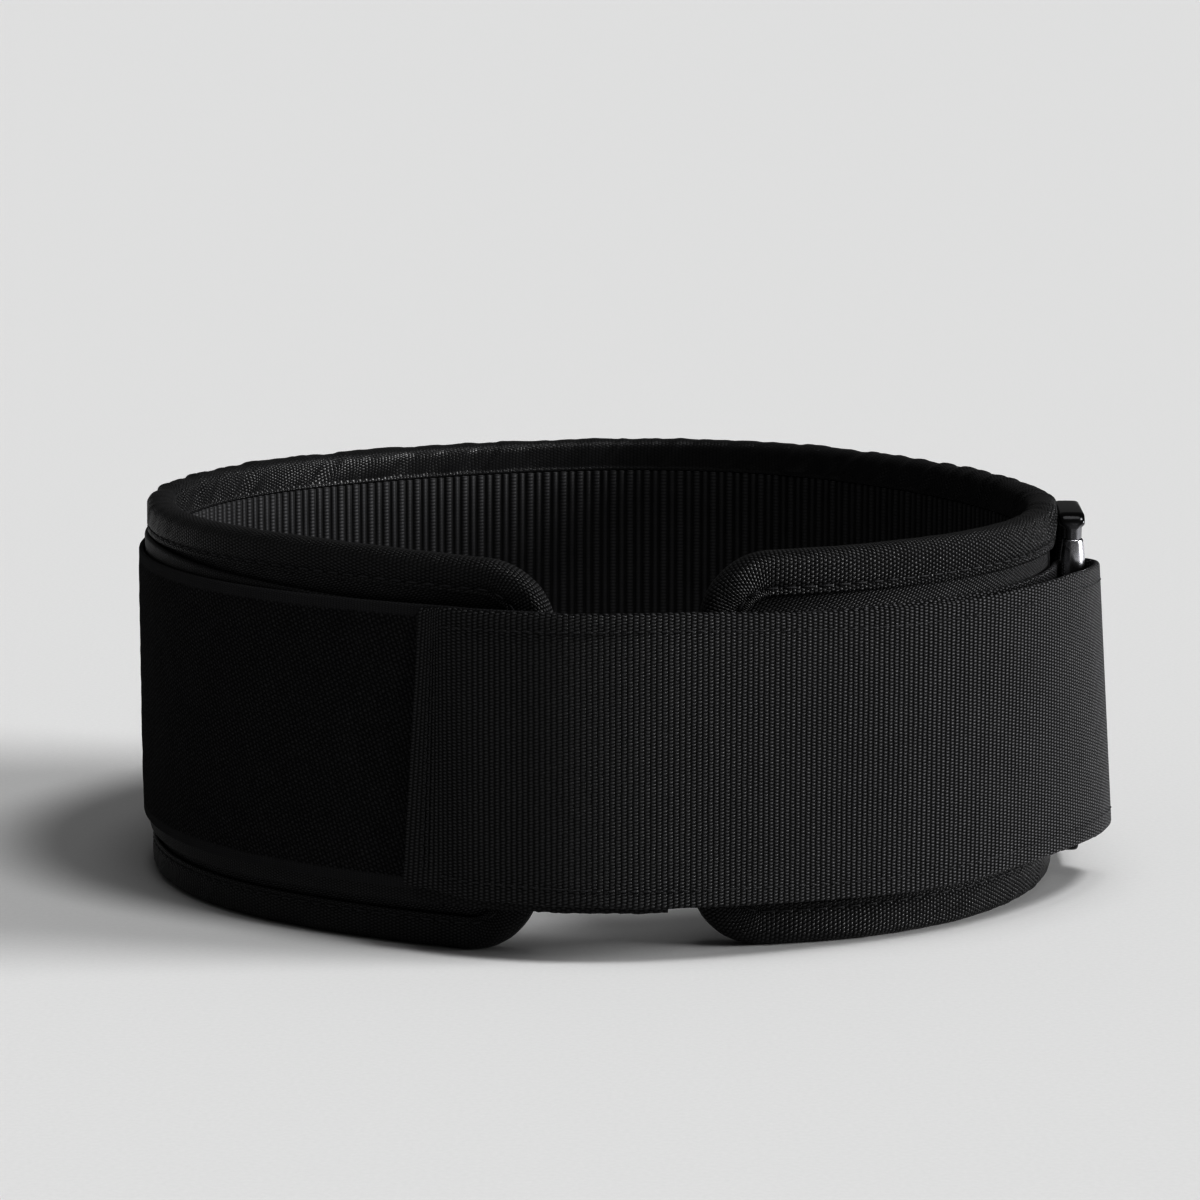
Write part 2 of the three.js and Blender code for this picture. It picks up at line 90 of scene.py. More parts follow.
def ruffled(run: Array, *waves: Wave) -> Array:
    """Returns the sum of soft random waves, each given as its amount, grain and seed."""
    return sum(amount * loose(run, grain, seed) for amount, grain, seed in waves)


def run_of(points: Array) -> Array:
    """Returns the distance along a line at each of its points."""
    steps = np.linalg.norm(np.diff(points, axis=0), axis=1)
    return np.concatenate([[0.0], np.cumsum(steps)])


def read(spots: Array, run: Array, points: Array) -> Array:
    """Returns the points at spots along a line whose points lie at the runs."""
    return np.stack([np.interp(spots, run, column) for column in points.T], -1)


def unit(vectors: Array) -> Array:
    """Returns vectors with a length of 1."""
    return vectors / np.linalg.norm(vectors, axis=-1, keepdims=True)


def paired(along: Array, across: Array) -> Array:
    """Returns cloth coordinates, as (..., 2)."""
    return np.stack(np.broadcast_arrays(along, across), -1)


def placed(name: str, data: bpy.types.ID) -> bpy.types.Object:
    """Returns a new object that is linked to the scene."""
    thing = bpy.data.objects.new(name, data)
    bpy.context.scene.collection.objects.link(thing)
    return thing


@dataclass(frozen=True)
class Panel:
    """The bent panel: its plan, a chain of tangent arcs, and how its ends taper and slant.

    Each bend is a share of the length and its turn in degrees. Tapers and slants are those
    of the left and of the right end.
    """

    left_end: Pair = (-19.3907, -108.8139)
    heading: float = 165.7
    length: float = 686.0
    height: float = 101.6
    bends: tuple[Pair, ...] = (
        (9, 24), (10, 50), (10, 51), (10, 27.6), (10, 55.7), (10, 30.6), (10, 51.7), (10.6, 59),
    )
    taper_run: float = 90.0
    tapers: Pair = (3.0, 1.5)
    slants: Pair = (6.4, 2.8)

    def _arcs(self) -> list[tuple[float, float, float, float, float]]:
        """Returns each arc's start place, x, y, heading and curvature."""
        whole = sum(parts for parts, _ in self.bends)
        x, y = self.left_end
        heading, start, straight = math.radians(self.heading), 0.0, 1e-7
        arcs = [(0.0, x, y, heading, straight)]
        for parts, turn in self.bends:
            length = self.length * parts / whole
            curvature = math.radians(turn) / length
            arcs.append((start, x, y, heading, curvature))
            after = heading - curvature * length
            x += (math.sin(heading) - math.sin(after)) / curvature
            y += (math.cos(after) - math.cos(heading)) / curvature
            heading, start = after, start + length
        arcs.append((start, x, y, heading, straight))
        return arcs

    def plan(self, place: Array) -> tuple[Array, Array, Array]:
        """The middle of the wall seen from above.

        Args:
            place: distances along the panel, which may lie past its ends.

        Returns:
            x, y and the heading in radians at each place.
        """
        arcs = np.array(self._arcs())
        place = np.asarray(place, float)
        index = np.where(place < 0, 0, np.searchsorted(arcs[1:, 0], place + TINY, "right"))
        start, x, y, heading, curvature = np.moveaxis(arcs[index], -1, 0)
        after = heading - curvature * (place - start)
        return (
            x + (np.sin(heading) - np.sin(after)) / curvature,
            y + (np.cos(after) - np.cos(heading)) / curvature,
            after,
        )

    def beside(self, place: Array, out: Array) -> Array:
        """Returns points of the plan that lie out from the wall's middle, as (..., 2)."""
        x, y, heading = self.plan(place)
        return np.stack([x - np.sin(heading) * out, y + np.cos(heading) * out], -1)

    def by_end(self, place: Array, values: Pair) -> Array:
        """Returns what is left of the two ends' values at a place, 0 away from the ends."""
        left, right = (
            np.clip(1.0 - away / self.taper_run, 0, 1) ** 2 for away in (place, self.length - place)
        )
        return values[0] * left + values[1] * right

    def squeezed(self, place: Array, height: Array) -> Array:
        """Returns a height brought down where the panel tapers towards its ends."""
        return height * (1.0 - self.by_end(place, self.tapers) / self.height)

    def on(self, place: Array, out: Array, height: Array) -> Array:
        """Points on the panel.

        Args:
            place: distances along the panel.
            out: distances outwards from the middle of the wall.
            height: heights over the lower rim.

        Returns:
            The points in the part's frame, as (..., 3).
        """
        place, out, height = np.broadcast_arrays(place, out, height)
        slant = self.by_end(place, self.slants)
        flat = self.beside(place + slant * (0.5 - height / self.height), out)
        return np.concatenate([flat, self.squeezed(place, height)[..., None]], -1)

    def edge(self, place: Array, inset: float, radius: float) -> Array:
        """Returns the height of the low edge of a layer with rounded corners."""
        from_end = np.minimum(place, self.length - place) - inset
        short = np.clip(radius - from_end, 0.0, radius)
        return inset + radius - np.sqrt(np.maximum(0.0, radius**2 - short**2))


PANEL = Panel()
HALF_RIM = 3.9
CORE_FACE = 2.6
SEAT = 2.9
OVER_BINDING = 4.2
REACH = 8.9
GAP = 0.3


@dataclass
class Skin:
    """A closed mesh in millimetres, with cloth coordinates along and across."""

    points: Array
    faces: list[tuple[int, ...]]
    cloth: Array

    def turned(self) -> "Skin":
        """Returns the skin with its faces turned outwards."""
        corners = [f[:3] for f in self.faces]
        corners += [(f[0], f[2], f[3]) for f in self.faces if len(f) == 4]
        a, b, c = self.points[np.array(corners)].transpose(1, 0, 2)
        if np.einsum("ij,ij->i", a, np.cross(b, c)).sum() < 0:
            self.faces = [f[::-1] for f in self.faces]
        return self

    def piece(
        self, name: str, finish: "Cloth | Metal", node: str | None = None, slot: str | None = None
    ) -> bpy.types.Object:
        """Makes the object, which rides on the part's only body.

        Args:
            name: the piece's name.
            finish: its finish.
            node: the CAD node that it replaces, if it replaces one.
            slot: not used.

        Returns:
            The new object.
        """
        self.turned()
        mesh = bpy.data.meshes.new(name)
        mesh.from_pydata((self.points * MM).tolist(), [], self.faces)
        layer = mesh.uv_layers.new(name="cloth")
        corners = np.zeros(len(mesh.loops), np.int32)
        mesh.loops.foreach_get("vertex_index", corners)
        layer.data.foreach_set("uv", self.cloth[corners].astype(np.float32).ravel())
        mesh.polygons.foreach_set("use_smooth", np.ones(len(mesh.polygons), bool))
        mesh.materials.append(finish.material())
        mesh.update()
        thing = placed(name, mesh)
        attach(thing, "root")
        if node is not None:
            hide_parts(node)
        log.info("%s: %d faces", name, len(self.faces))
        return thing


def tube(points: Array, cloth: Array, closed: bool, capped: bool = True) -> Skin:
    """Joins rings of points into one closed skin.

    Args:
        points: rings of points, as (rings, sides, 3). Point 0 and the point half way round
            are the ring's two edges.
        cloth: the cloth coordinates of the points, as (rings, sides, 2).
        closed: whether the last ring joins the first.
        capped: whether the two ends are closed with a ladder of faces.

    Returns:
        The skin.
    """
    rings, sides = points.shape[:2]
    spans = rings if closed else rings - 1
    ring, side = np.meshgrid(np.arange(spans) * sides, np.arange(sides), indexing="ij")
    after, other = (ring + sides) % (rings * sides), (side + 1) % sides
    quads = np.stack([ring + side, after + side, after + other, ring + other], -1)
    faces = [tuple(quad) for quad in quads.reshape(-1, 4).tolist()]
    if capped and not closed:
        for start, turn in ((0, 1), ((rings - 1) * sides, -1)):
            for k in range(sides // 2):
                ladder = [k, k + 1, sides - k - 1, (sides - k) % sides]
                rung = tuple(dict.fromkeys(start + v for v in ladder))
                faces.append(rung[::turn])
    return Skin(points.reshape(-1, 3), faces, cloth.reshape(-1, 2))


def join(skins: list[Skin]) -> Skin:
    """Returns several skins as one."""
    faces: list[tuple[int, ...]] = []
    start = 0
    for skin in skins:
        faces.extend(tuple(v + start for v in face) for face in skin.turned().faces)
        start += len(skin.points)
    points, cloth = (np.concatenate([getattr(s, part) for s in skins]) for part in ("points", "cloth"))
    return Skin(points, faces, cloth)


@dataclass(frozen=True)
class Thread:
    """A row of stitches.

    The profile follows one stitch from -1 to 1, with its share of the full thickness and
    how many thicknesses it rises.
    """

    pitch: float = 3.4
    length: float = 2.5
    thick: float = 0.32
    sides: int = 6
    uneven: float = 0.12
    profile: Rows = (
        (-1.0, 0.25, -0.6), (-0.82, 0.75, 0.0), (-0.45, 1.0, 0.35), (0.0, 1.0, 0.45),
        (0.45, 1.0, 0.35), (0.82, 0.75, 0.0), (1.0, 0.25, -0.6),
    )

    def sew(self, points: Array, away: Array, seed: int) -> Skin:
        """Stitches along a line.

        Args:
            points: the line, as (n, 3).
            away: the direction out of the cloth at each point, as (n, 3).
            seed: seeds the unevenness of the stitches.

        Returns:
            The skin of all the stitches of the row.
        """
        run = run_of(points)
        rng = np.random.default_rng(seed)
        centres = np.arange(self.pitch / 2, run[-1] - self.pitch / 2, self.pitch)
        centres = centres + rng.uniform(-self.uneven, self.uneven, len(centres))
        shares, fat, rise = np.array(self.profile).T
        spots = centres[:, None] + shares * self.length / 2
        line, lift = read(spots, run, points), unit(read(spots, run, away))
        across = np.cross(lift, unit(np.gradient(line, axis=1)))
        line = line + lift * (rise * self.thick)[:, None]
        angles = 2 * np.pi * np.arange(self.sides) / self.sides
        ring = lift[:, :, None] * np.sin(angles)[:, None] + across[:, :, None] * np.cos(angles)[:, None]
        tall = line[:, :, None] + ring * (fat * self.thick)[:, None, None]
        cloth = paired(spots[:, :, None], angles * self.thick)
        each = len(shares) * self.sides
        one = tube(tall[0], cloth[0], closed=False, capped=False).faces
        ends = [tuple(range(self.sides))[::-1], tuple(range(each - self.sides, each))]
        faces = [
            tuple(v + start for v in face)
            for start in range(0, each * len(centres), each)
            for face in (*one, *ends)
        ]
        return Skin(tall.reshape(-1, 3), faces, cloth.reshape(-1, 2))


@dataclass(frozen=True)
class Weft:
    """The section of a strip of webbing or tape, with round selvedges."""

    thickness: float
    rows: int = 24
    selvedge: float = 1.0
    corner_steps: int = 3

    def ring(self, width: Array) -> tuple[Array, Array]:
        """One ring of the section for each width.

        Args:
            width: the strip's width at each station, as (stations, 1).

        Returns:
            How far across and how far out each point of the ring lies. The near side, at
            a negative out, comes first.
        """
        angles = np.linspace(0, math.pi / 2, self.corner_steps + 1)[:-1]
        round_in, round_out = 1.0 - np.cos(angles), np.sin(angles)
        share = np.linspace(0, 1, self.rows)
        low = np.concatenate([round_in, 1 - 2 * share, -round_in[::-1]])
        part = np.concatenate([0 * round_in, share, 0 * round_in + 1])
        side = np.concatenate([round_out, 0 * share + 1, round_out[::-1]])
        low, part = (np.concatenate([half, half[-2:0:-1]]) for half in (low, part))
        side = np.concatenate([-side, side[-2:0:-1]])
        across = low[None] * self.selvedge + part[None] * width
        return across, np.broadcast_to(side[None] * self.thickness / 2, across.shape)


@dataclass
class Course:
    """Where a strip runs: its middle seen from above, its edges, lean and slip."""

    middle: Array
    low: Array | float
    high: Array | float
    lean: Array | float = 0.0
    slip: Array | float = 0.0
    run: Array = field(init=False)
    along: Array = field(init=False)

    def __post_init__(self) -> None:
        """Works out the run and the direction at each station."""
        count = len(self.middle)
        for name in ("low", "high", "lean", "slip"):
            setattr(self, name, np.broadcast_to(getattr(self, name), count).astype(float))
        self.run = run_of(self.middle)
        self.along = unit(np.gradient(self.middle, axis=0))

    def _at(self, run: Array, values: Array) -> Array:
        """Returns values along the course at other runs."""
        return np.interp(run, self.run, values)

    def width(self, run: Array) -> Array:
        """Returns the strip's width at each run."""
        return self._at(run, self.high) - self._at(run, self.low)

    def lay(self, run: Array, across: Array, out: Array) -> Array:
        """Points on the strip.

        Args:
            run: distances along the strip.
            across: distances from its low edge.
            out: distances from its middle, along its near side's normal if negative.

        Returns:
            The points, as (..., 3).
        """
        run, across, out = np.broadcast_arrays(run, across, out)
        height = self._at(run, self.low) + across
        x, y = (self._at(run, self.middle[:, k]) for k in (0, 1))
        ax, ay = (self._at(run, self.along[:, k]) for k in (0, 1))
        slip = self._at(run, self.slip) * across / self.width(run)
        shift = (BUCKLE.middle - height) * BUCKLE.lean * self._at(run, self.lean)
        x = x - ay * out + ax * slip + BUCKLE.outward[0] * shift
        y = y + ax * out + ay * slip + BUCKLE.outward[1] * shift
        return np.stack([x, y, height], -1)

    def skin(self, weft: Weft, relief: Array | float = 0.0, drift: Array | float = 0.0) -> Skin:
        """The strip's mesh.

        Args:
            weft: its section.
            relief: how far each point is pushed out.
            drift: how far each point is moved up.

        Returns:
            The skin.
        """
        run = self.run[:, None]
        across, out = weft.ring(self.width(run))
        points = self.lay(run, across, out + relief)
        points[..., 2] += drift
        return tube(points, paired(run, across), closed=False)

    def stitched(self, row: Thread, run: Array, across: Array, face: float) -> Skin:
        """A row of stitches on one side of the strip.

        Args:
            row: the stitches.
            run: distances along the strip.
            across: distances from its low edge.
            face: how far out that side's face lies, less than 0 for the near side.

        Returns:
            The skin of the row.
        """
        run, across = np.broadcast_arrays(run, across)
        on, off = (self.lay(run, across, out) for out in (face, face + math.copysign(1.0, face)))
        return row.sew(on, off - on, seed=int(abs(run[0]) + across[0]))


class Signal:
    """A value in a finish's nodes that Python's operators work on."""

    def __init__(self, paint: "Paint", socket: bpy.types.NodeSocket) -> None:
        """Keeps the paint that the value belongs to and its socket."""
        self.paint, self.socket = paint, socket

    def __add__(self, other: "Value") -> "Signal":
        """Returns self + other."""
        return self.paint.maths("ADD", self, other)

    def __sub__(self, other: "Value") -> "Signal":
        """Returns self - other."""
        return self.paint.maths("SUBTRACT", self, other)

    def __rsub__(self, other: "Value") -> "Signal":
        """Returns other - self."""
        return self.paint.maths("SUBTRACT", other, self)

    def __mul__(self, other: "Value") -> "Signal":
        """Returns self * other."""
        return self.paint.maths("MULTIPLY", self, other)

    def __truediv__(self, other: "Value") -> "Signal":
        """Returns self / other."""
        return self.paint.maths("DIVIDE", self, other)

    def __pow__(self, other: "Value") -> "Signal":
        """Returns self to the power of other."""
        return self.paint.maths("POWER", self, other)

    __radd__ = __add__
    __rmul__ = __mul__

    def clipped(self) -> "Signal":
        """Returns the value kept between 0 and 1."""
        return self.paint.maths("MINIMUM", self.paint.maths("MAXIMUM", self, 0.0), 1.0)

    def humps(self) -> "Signal":
        """Returns a round hump from 0 to 1 and back for each whole step of the value."""
        return self.paint.maths("ABSOLUTE", self.paint.maths("SINE", self * math.pi))


Value = Signal | float


class Paint:
    """One finish's node tree."""

    def __init__(self, name: str, **constants: object) -> None:
        """Starts a Principled finish.

        Args:
            name: the material's name.
            constants: the shader's sockets that stay the same all over, with _ for spaces.
        """
        self.material = bpy.data.materials.new(name)
        self.material.use_nodes = True
        self.tree = self.material.node_tree
        self.shader = self.tree.nodes["Principled BSDF"]
        for socket, value in constants.items():
            self.shader.inputs[socket.replace("_", " ")].default_value = value

    def node(
        self, kind: str, inputs: dict[int | str, object], output: int | str = 0, **settings: object
    ) -> Signal:
        """Adds a node.

        Args:
            kind: the node's type.
            inputs: values or signals for its sockets.
            output: the output that is wanted.
            settings: what is set on the node before its sockets are fed.

        Returns:
            The output's signal.
        """
        node = self.tree.nodes.new(kind)
        for name, value in settings.items():
            setattr(node, name, value)
        for key, value in inputs.items():
            self.feed(node.inputs[key], value)
        return Signal(self, node.outputs[output])

    def feed(self, socket: bpy.types.NodeSocket, value: object) -> None:
        """Links a signal to a socket, or sets the socket's own value."""
        if isinstance(value, Signal):
            self.tree.links.new(value.socket, socket)
        else:
            socket.default_value = value

    def maths(self, operation: str, *values: Value) -> Signal:
        """Returns the result of one step of maths."""
        return self.node("ShaderNodeMath", dict(enumerate(values)), operation=operation)

    def part(self, vector: Signal, axis: int) -> Signal:
        """Returns a vector's part along one axis."""
        return self.node("ShaderNodeSeparateXYZ", {0: vector}, axis)

    def place(self) -> Signal:
        """Returns the place in the part's own space, in metres."""
        return self.node("ShaderNodeTexCoord", {}, "Object")

    def cloth(self) -> tuple[Signal, Signal]:
        """Returns the millimetres along and across the cloth."""
        place = self.node("ShaderNodeUVMap", {}, uv_map="cloth")
        return self.part(place, 0), self.part(place, 1)

    def noise(self, grain: float, detail: float = 2.0, upright: float = 1.0) -> Signal:
        """Soft noise in the part's own space.

        Args:
            grain: the size of its blotches in millimetres.
            detail: how many finer layers it has.
            upright: how much longer the blotches are upwards.

        Returns:
            Values about 0.5.
        """
        scale = tuple(1.0 / (grain * MM * stretch) for stretch in (1.0, 1.0, upright))
        spread = self.node("ShaderNodeVectorMath", {0: self.place(), 1: scale}, operation="MULTIPLY")
        return self.node("ShaderNodeTexNoise", {"Vector": spread, "Scale": 1.0, "Detail": detail})

    def beads(self, along: Signal, across: Signal, pitch: float, row: float) -> Signal:
        """Returns columns of beads, with every other column half a bead higher."""
        column = along / pitch
        odd = self.maths("MODULO", self.maths("FLOOR", column), 2.0) * 0.5
        bead = (across / row + odd).humps()
        return (column.humps() ** 0.6) * ((bead**0.7) * 0.85 + 0.15)

    def rib(self, turns: Signal, half: float) -> Signal:
        """Returns a round rib in the middle of each turn, with its half width in turns."""
        off = (self.maths("FRACT", turns) - 0.5) / half
        return self.maths("MAXIMUM", 1.0 - off * off, 0.0) ** 0.5

    def tint(self, share: Signal, dark: Color, light: Color) -> None:
        """Colours the finish from dark to light by a share."""
        ends = {0: share, 6: (*dark, 1.0), 7: (*light, 1.0)}
        mixed = self.node("ShaderNodeMix", ends, 2, data_type="RGBA", clamp_factor=True)
        self.feed(self.shader.inputs["Base Color"], mixed)

    def relief(self, height: Signal, depth: float) -> None:
        """Raises the surface by a height from 0 to 1, where 1 stands for the depth."""
        bump = {"Strength": 1.0, "Distance": depth * MM, "Height": height}
        self.feed(self.shader.inputs["Normal"], self.node("ShaderNodeBump", bump))


FUZZ_SHARE = 0.15


class Weave(Enum):
    """How a cloth is woven."""

    BEADED = "staggered columns of beads"
    RIBBED = "upright ribs, every other one beaded"
    NAPPED = "a napped pile"


@dataclass(frozen=True)
class Cloth:
    """A woven finish.

    Pitch and row are the sizes of a bead, and slant is how far its column leans for each
    millimetre up. Threads wander by stray. The colour follows the relief as painted shade and
    painted glints: below the shade height the grooves are painted dark, by the shade share of
    the light colour, and the bead tops are painted light.
    Border holds a tape's width and the width of its smooth edges. The shade run holds where along
    the cloth painted shade begins, where it is full, and the share of light it takes away.
    """

    name: str
    slot: str
    weave: Weave
    light: Color
    shade_share: float = 0.12
    shade_below: float = 0.25
    pitch: float = 1.43
    row: float = 0.85
    slant: float = 0.0
    depth: float = 0.25
    roughness: float = 0.55
    specular: float = 0.16
    blotch: float = 0.25
    stray: float = 0.35
    border: Pair | None = None
    rubbed: float = 0.0
    # painted shade along the cloth, full past the run's end
    shade_run: tuple[float, float, float] | None = None

    def _height(self, paint: Paint) -> Signal:
        """Returns the weave's relief from 0 to 1."""
        along, across = paint.cloth()
        along = along + (paint.noise(3.0) - 0.5) * self.stray
        across = across + (paint.noise(2.0) - 0.5) * self.stray
        beads = paint.beads(along + across * self.slant, across, self.pitch, self.row)
        fuzz = paint.noise(0.25)
        match self.weave:
            case Weave.BEADED:
                return beads * (1.0 - FUZZ_SHARE) + fuzz * FUZZ_SHARE
            case Weave.RIBBED:
                wide = paint.rib(along / self.pitch + 0.5, 0.2)
                narrow = paint.rib(along / self.pitch, 0.15)
                bead = (across / self.row).humps()
                return wide * (bead * 0.5 + 0.3) + narrow * (bead * 0.15 + 0.5) + fuzz * 0.16
            case Weave.NAPPED:
                return beads * (paint.noise(0.6, 1.0) * 1.5) + paint.noise(1.3) * 0.2

    def _rubbed(self, paint: Paint, height: Signal) -> Signal:
        """Returns the relief rubbed smooth, more towards the back of the waist."""
        back, level = 90.0 * MM, 0.62
        share = (paint.part(paint.place(), 1) / back).clipped() * self.rubbed
        return height * (1.0 - share) + share * level

    def _bordered(self, paint: Paint, height: Signal, width: float, border: float) -> Signal:
        """Gives a tape its smooth woven borders.

        Args:
            paint: the finish's nodes.
            height: the relief of the tape's face.
            width: the tape's width.
            border: each border's width.

        Returns:
            The relief with borders.
        """
        along, across = paint.cloth()
        edge = paint.maths("MINIMUM", across, width - across) + (paint.noise(0.8) - 0.5) * 0.8
        inside = ((edge - border) * 1.4).clipped()
        border_weave = paint.beads(along, across, 0.9, 0.5) * 0.3 + 0.6
        return height * inside + border_weave * (1.0 - inside)

    def _painted_shade(self, paint: Paint, start: float, end: float, lost: float) -> Signal:
        """Returns the share of light left along the cloth under its painted shade."""
        along, _ = paint.cloth()
        way = ((along - start) / (end - start)).clipped()
        return 1.0 - way * way * (3.0 - 2.0 * way) * lost

    def material(self) -> bpy.types.Material:
        """Returns the finish's material."""
        paint = Paint(self.name, Roughness=self.roughness, Specular_IOR_Level=self.specular)
        height = self._height(paint)
        if self.border is not None:
            height = self._bordered(paint, height, *self.border)
        if self.rubbed:
            height = self._rubbed(paint, height)
        # Painted shade and painted glints: the colour is dark in the weave's grooves and light on its
        # bead tops, with random blotches
        painted_light = paint.maths("MAXIMUM", (height - self.shade_below) / (1.0 - self.shade_below), 0.0)
        share = (paint.noise(7.0, 3.0) - 0.5) * self.blotch + painted_light**1.3
        # Painted shade along the cloth, where the finish has it
        if self.shade_run is not None:
            share = share * self._painted_shade(paint, *self.shade_run)
        paint.tint(share, scaled(self.light, self.shade_share), self.light)
        paint.relief(height, self.depth)
        return paint.material


@dataclass(frozen=True)
class Metal:
    """A polished metal finish, which may be painted lighter where its mesh says so, as a painted
    reflection.
    """

    name: str
    slot: str
    color: Color
    roughness: float
    coat: float = 0.0
    scratch: float = 0.06
    bar_reflection_color: Color | None = None

    def material(self) -> bpy.types.Material:
        """Returns the finish's material."""
        paint = Paint(
            self.name, Metallic=1.0, Coat_Roughness=0.08, Specular_IOR_Level=0.6, Coat_Weight=self.coat
        )
        smudge, hairline = paint.noise(6.0, 3.0), paint.noise(0.5, upright=12.0)
        least = self.roughness - 0.75 * self.scratch
        rough = smudge * self.scratch + hairline * (self.scratch / 2) + least
        paint.feed(paint.shader.inputs["Roughness"], rough)
        if self.bar_reflection_color is None:
            paint.tint(smudge, scaled(self.color, 0.85), self.color)
        # Painted reflection: lighter where the mesh's share says so, on the buckle's bars
        else:
            reflection_share, _ = paint.cloth()
            paint.tint(reflection_share * (smudge * 0.6 + 0.7), self.color, self.bar_reflection_color)
        paint.relief(hairline, 0.004)
        return paint.material


def grey(value: float, blue: float = 1.04) -> Color:
    """Returns a near neutral colour."""
    return (value, value, value * blue)


def scaled(color: Color, share: float) -> Color:
    """Returns a colour made darker or lighter."""
    return tuple(share * part for part in color)


# Each cloth's shade height and shade share set how dark its grooves are painted: painted shade
COVER = Cloth(
    "cover cloth", "cover_cloth", Weave.BEADED, grey(0.1), pitch=1.0, row=0.8, slant=0.6,
    depth=0.3, roughness=0.38, specular=0.3, shade_below=0.3, shade_share=0.1,
)
BINDING = Cloth(
    "binding cloth", "binding_cloth", Weave.BEADED, grey(0.06), pitch=1.1, row=0.9, depth=0.4,
    roughness=0.32, specular=0.25, shade_below=0.3, shade_share=0.08, rubbed=0.75,
)
LINING = Cloth(
    "lining cloth", "lining_cloth", Weave.RIBBED, grey(0.1), pitch=5.3, row=1.0, depth=0.3,
    roughness=0.5, stray=0.12, shade_below=0.15, shade_share=0.16, rubbed=0.2,
)
BASE = Cloth(
    "base webbing", "base_webbing", Weave.BEADED, grey(0.06), pitch=0.9, row=0.75, depth=0.2,
    roughness=0.4, specular=0.2,
)
PILE = Cloth(
    "loop pile", "loop_pile", Weave.NAPPED, grey(0.066), pitch=1.25, row=1.1, slant=0.35,
    stray=1.0, shade_below=0.3, shade_share=0.2, depth=0.5, roughness=0.8, specular=0.03,
    border=(72.8, 2.6),
)
# The strap is painted darker from its fold round the roller onwards towards its tip: painted shade
STRAP = Cloth(
    "strap webbing", "strap_webbing", Weave.BEADED, grey(0.15), shade_below=0.34, shade_share=0.02,
    depth=0.52, roughness=0.36, specular=0.22, blotch=0.12, shade_run=(268.0, 372.0, 0.4),
)
HOOKS = Cloth(
    "hook tape", "hook_tape", Weave.BEADED, grey(0.05), pitch=1.2, row=1.0, depth=0.3,
    roughness=0.5,
)
THREAD = Cloth(
    "sewing thread", "strap_webbing", Weave.BEADED, grey(0.07), pitch=0.5, row=0.4, depth=0.06,
    roughness=0.4, shade_below=0.0, shade_share=0.5,
)
# The frame is dark metal, with its bars painted lighter as a painted reflection
DARK_METAL = Metal("dark metal", "dark_metal", grey(0.03), 0.2, coat=0.2, bar_reflection_color=grey(0.42))
BRIGHT_METAL = Metal("bright metal", "bright_metal", grey(0.82), 0.22)


